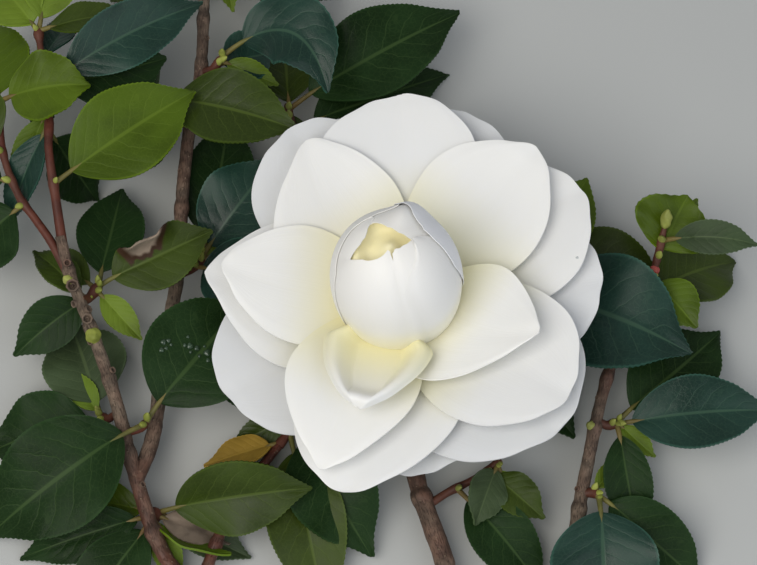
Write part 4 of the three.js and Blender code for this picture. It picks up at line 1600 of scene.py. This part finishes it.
class CAMELLIA_OT_foliage(bpy.types.Operator):
    """Grow the twigs, stalks, leaves and axillary buds of every foliage mass"""

    bl_idname = "camellia.foliage"
    bl_label = "Foliage"

    def execute(self, context):
        sizes = context.scene.camellia_sizes
        crown = Crown(sizes.extra_leaves)
        names = list(MASSES)
        stems, stalks = [], []
        for name, mass in MASSES.items():
            route = Route(mass["stem"])
            share = np.linspace(0, 1, max(8, int(route.length / TWIG_STEP)))
            radius = np.interp(share, [0, 1], mass["radii"])
            for leaf in crown.leaves[name]:  # a swelling under each leaf
                near = np.linalg.norm(route.at(share) - leaf.root, axis=1)
                radius = radius + 0.28 * np.exp(-((near / 1.7) ** 2))
            radius[-3:] *= (0.95, 0.8, 0.45)
            stems.append((place(route.at(share)), radius * MM))
            stalks += [(place(p), r * MM) for p, r in map(Leaf.stalk, crown.leaves[name])]
        obj = tubes("foliage_twigs", stems, resolution=4)
        finish_piece(obj, names, MATERIALS["twig"])
        obj = tubes("leaf_stalks", stalks, resolution=2)
        finish_piece(obj, names, MATERIALS["stalk"])
        for name, leaves in crown.leaves.items():
            self.blades(name, leaves, sizes)
        self.buds(crown)
        return {"FINISHED"}

    def blades(self, name, leaves, sizes):
        """The blades of one mass; their undersides take the second set of materials."""
        obj = join(name + "_leaves", [self.blade(name, leaf, sizes) for leaf in leaves])
        for look in LOOKS:
            obj.data.materials.append(MATERIALS["dry" if look == "dry" else "under"])
        thicken(obj, sizes.blade_thickness, under=len(LOOKS))
        finish_piece(obj, [name])

    def blade(self, name, leaf, sizes):
        """One toothed blade, with its tint and the material of its look."""
        withered = leaf.look == "withered"
        length = leaf.length * (1 - STALK_SHARE) * MM
        rows = 2 * max(10, int(length / sizes.tooth_pitch))
        tooth = sizes.tooth_depth / MM
        obj = sheet(
            name + "_leaf",
            24 if withered else 10,
            rows,
            lambda u, v: place(leaf.surface(u, v, rows, tooth)),
            "Leaf",
        )
        mesh = obj.data
        write_layer(mesh, "leaf_tint", leaf.tint)
        if withered:
            self.wither(mesh)
        mesh.materials.clear()
        for look in LOOKS:
            mesh.materials.append(MATERIALS[look])
        index = np.full(len(mesh.polygons), LOOKS.index(leaf.look), np.int32)
        mesh.polygons.foreach_set("material_index", index)
        return obj

    @staticmethod
    def wither(mesh):
        """Writes how dead each point of the withered leaf is."""
        uv = np.empty(2 * len(mesh.loops))
        mesh.uv_layers[0].data.foreach_get("uv", uv)
        corner = np.empty(len(mesh.loops), np.int32)
        mesh.loops.foreach_get("vertex_index", corner)
        spots = np.zeros((len(mesh.vertices), 2))
        spots[corner] = uv.reshape(-1, 2)
        u, v = spots.T
        torn = 0.03 * np.sin(31 * v + 3) + 0.02 * np.sin(67 * v)
        inner, low, high = 0.46 + torn - u, v - 0.13 - 0.1 * u, 0.66 - 0.3 * u - v
        write_layer(mesh, "dead", np.clip(np.minimum(inner, np.minimum(low, high)) / 0.16, 0, 1))

    def buds(self, crown):
        """Pointed buds in the axils of the first leaves of each mass, and the swollen ones."""
        made = []
        for leaves in crown.leaves.values():
            for leaf in leaves[:BUDS_PER_TWIG]:
                _, forward, side, normal = leaf.spine(0.03)
                axis = unit(forward + 1.3 * normal + 0.2 * side)
                size = random.Random(leaf.phase).uniform(0.6, 1.0)
                obj, p = ball(12, 10)
                tall = p[:, 2]
                slim = np.where(tall > 0, 1 - 0.55 * tall**1.5, 1.0)
                p = np.stack([p[:, 0] * slim * 1.25, p[:, 1] * slim, tall * 2.4 + 1.4], 1) * size
                move_points(obj, place(p @ turn_to(axis).T + leaf.root + 0.9 * axis))
                made.append(obj)
        made += [self.knob(*row) for row in KNOBS]
        obj = join("axillary_buds", made)
        finish_piece(obj, [], MATERIALS["bud"])
        obj = join("pink_joints", [self.knob(*row) for row in PINK_KNOBS])
        finish_piece(obj, [], MATERIALS["blush"])

    @staticmethod
    def knob(name, share, azimuth, rise, size, stretch):
        """A ridged swelling that sits half sunk on its stem."""
        spec = LIMBS.get(name) or MASSES[name]
        route = Route(spec.get("route") or spec["stem"])
        axis = facing(azimuth, rise)
        radius = float(np.interp(share, [0, 1], spec["radii"]))
        obj, p = ball(24, 20)
        ridge = 1 + 0.07 * np.sin(4 * np.arctan2(p[:, 1], p[:, 0]) + 6 * p[:, 2])
        ridge = ridge * (1 - 0.3 * smooth(0.2, 1, p[:, 2]))
        p = np.stack([p[:, 0] * ridge, p[:, 1] * ridge, p[:, 2] * stretch], 1) * size
        out = radius + size * (stretch - 1) - 0.2 * size
        move_points(obj, place(p @ turn_to(axis).T + route.at(share) + axis * out))
        return obj


class CAMELLIA_OT_petals(bpy.types.Operator):
    """Lay the eighteen outer petals in their nested bowls"""

    bl_idname = "camellia.petals"
    bl_label = "Petals"

    def execute(self, context):
        sizes = context.scene.camellia_sizes
        for name, first, end in PETAL_PIECES:
            petals = []
            for index in range(first, end):
                columns = 60 if index == ROLLED else 32
                petals.append(bloom_sheet("petal", columns, 44, petal_surface(index), sizes))
            obj = join(name, petals)
            thicken(obj, sizes.petal_thickness)
            finish_piece(obj, ["bloom_petals"], MATERIALS[name])
        return {"FINISHED"}


class CAMELLIA_OT_heart(bpy.types.Operator):
    """Shape the closed heart, its wrapping petals and the mouth at its tip"""

    bl_idname = "camellia.heart"
    bl_label = "Heart"

    def execute(self, context):
        sizes = context.scene.camellia_sizes
        core = self.core(sizes)
        wraps = [
            bloom_sheet("wrap", 56, 44, wrap_surface(*spec), sizes) for spec in WRAPS.values()
        ]
        # The right wrap is a piece of its own so that its material can carry painted bluish shade.
        for name, group in (("heart_petals", wraps[:-1]), ("heart_sail", wraps[-1:])):
            obj = join(name, group)
            pick(obj)
            bpy.ops.object.mode_set(mode="EDIT")
            bpy.ops.mesh.select_all(action="SELECT")
            bpy.ops.mesh.normals_make_consistent(inside=False)
            bpy.ops.object.mode_set(mode="OBJECT")
            thicken(obj, 0.4 * sizes.petal_thickness)
            finish_piece(obj, ["bloom_heart"], MATERIALS[name])
        finish_piece(core, ["bloom_heart"], MATERIALS["heart_core"])
        return {"FINISHED"}

    @staticmethod
    def core(sizes):
        """The body inside the wraps, with the dish of its mouth and a flattened foot."""
        core, p = ball(72, 64)
        core.name = core.data.name = "heart_core"
        core.data.uv_layers[0].name = "Petal"
        azimuth = np.arctan2(p[:, 1], p[:, 0])
        polar = np.arccos(np.clip(p[:, 2], -1, 1))
        radius, z = egg(polar)
        radius, z = radius - 0.5 * np.sin(polar), z - 0.5 * np.cos(polar)
        z = z - 4.6 * smooth(0.62, 0.3, polar) + 2.0 * smooth(0.22, 0.0, polar)
        z = np.where(z < 10, 10 + (z - 10) * 0.4, z)
        move_points(core, on_seat(about_axis(azimuth, radius, z) + HEART_SHIFT, sizes))
        return core


class CAMELLIA_OT_calyx(bpy.types.Operator):
    """Shape the neck under the bloom and its overlapping bud scales"""

    bl_idname = "camellia.calyx"
    bl_label = "Calyx"

    def execute(self, context):
        sizes = context.scene.camellia_sizes
        core, p = ball(32, 24)
        radius = np.hypot(p[:, 0], p[:, 1])
        profile = np.interp(p[:, 2], [-1, -0.9, -0.4, 0.3, 0.8, 1], [0, 2.6, 5.2, 7.8, 7.6, 0])
        swell = np.where(radius > 1e-6, 1 / np.maximum(radius, 1e-6), 0) * profile
        z = -13.2 + 5.6 * p[:, 2]
        p = np.stack([p[:, 0] * swell, p[:, 1] * swell, z], -1)
        move_points(core, on_seat(p, sizes))
        scales = [core]
        for ring, (count, *spec) in enumerate(SCALE_RINGS):
            for k in range(count):
                spin = 2 * math.pi * (k + 0.5 * ring) / count
                obj = bloom_sheet("scale", 12, 14, scale_surface(count, *spec, spin), sizes)
                thicken(obj, sizes.scale_thickness)
                scales.append(obj)
        obj = join("calyx_scales", scales)
        finish_piece(obj, ["bloom_calyx"], MATERIALS["bud"])
        return {"FINISHED"}


class CAMELLIA_OT_dew(bpy.types.Operator):
    """Set the water drops on the leaf and the petals that carry them"""

    bl_idname = "camellia.dew"
    bl_label = "Water drops"

    def execute(self, context):
        sizes = context.scene.camellia_sizes
        name, index, drops = LEAF_DROPS
        leaf = table_leaf(name, index, MASSES[name]["leaves"][index])
        made = [self.drop(lambda u, v: place(leaf.surface(u, v)), *spot) for spot in drops]
        finish_piece(join("leaf_drops", made), [], MATERIALS["leaf_drops"])
        made = []
        for index, *spot in PETAL_DROPS:
            surface = petal_surface(index)
            made.append(self.drop(lambda u, v: on_seat(surface(u, v), sizes), *spot))
        finish_piece(join("petal_drops", made), [], MATERIALS["petal_drops"])
        return {"FINISHED"}

    @staticmethod
    def drop(surface, u, v, radius):
        """A flattened dome on a surface, at its u and v."""
        near = surface(np.array([u, u + 0.01, u]), np.array([v, v, v + 0.01]))
        up = unit(np.cross(near[1] - near[0], near[2] - near[0]))
        up = up if up[2] > 0 else -up
        obj, p = ball(16, 12)
        wide = 1 + 0.12 * np.sin(3 * np.arctan2(p[:, 1], p[:, 0]) + 40 * v)
        p = np.stack([p[:, 0] * wide, p[:, 1] * wide, np.maximum(p[:, 2], -0.1) * 0.62 + 0.08], 1)
        move_points(obj, near[0] + p @ turn_to(up).T * radius * MM)
        return obj


STEPS = (
    CAMELLIA_OT_materials,
    CAMELLIA_OT_stage,
    CAMELLIA_OT_limbs,
    CAMELLIA_OT_foliage,
    CAMELLIA_OT_petals,
    CAMELLIA_OT_heart,
    CAMELLIA_OT_calyx,
    CAMELLIA_OT_dew,
)


class CAMELLIA_PT_panel(bpy.types.Panel):
    """Lists the pieces of the branch"""

    bl_idname = "CAMELLIA_PT_panel"
    bl_label = "Camellia branch"
    bl_space_type = "VIEW_3D"
    bl_region_type = "UI"
    bl_category = "Camellia"

    def draw(self, context):
        for group in (context.scene.camellia_sizes, context.scene.camellia_colours):
            for key in group.__annotations__:
                self.layout.prop(group, key)
        for step in STEPS:
            self.layout.operator(step.bl_idname)


CLASSES = (CamelliaSizes, CamelliaColours, *STEPS, CAMELLIA_PT_panel)


def register():
    for cls in CLASSES:
        bpy.utils.register_class(cls)
    bpy.types.Scene.camellia_sizes = PointerProperty(type=CamelliaSizes)
    bpy.types.Scene.camellia_colours = PointerProperty(type=CamelliaColours)


def unregister():
    del bpy.types.Scene.camellia_colours
    del bpy.types.Scene.camellia_sizes
    for cls in reversed(CLASSES):
        bpy.utils.unregister_class(cls)


def main():
    register()
    bpy.ops.camellia.materials()
    bpy.ops.camellia.stage()
    bpy.ops.camellia.limbs()
    bpy.ops.camellia.foliage()
    bpy.ops.camellia.petals()
    bpy.ops.camellia.heart()
    bpy.ops.camellia.calyx()
    bpy.ops.camellia.dew()


if __name__ == "__main__":
    main()
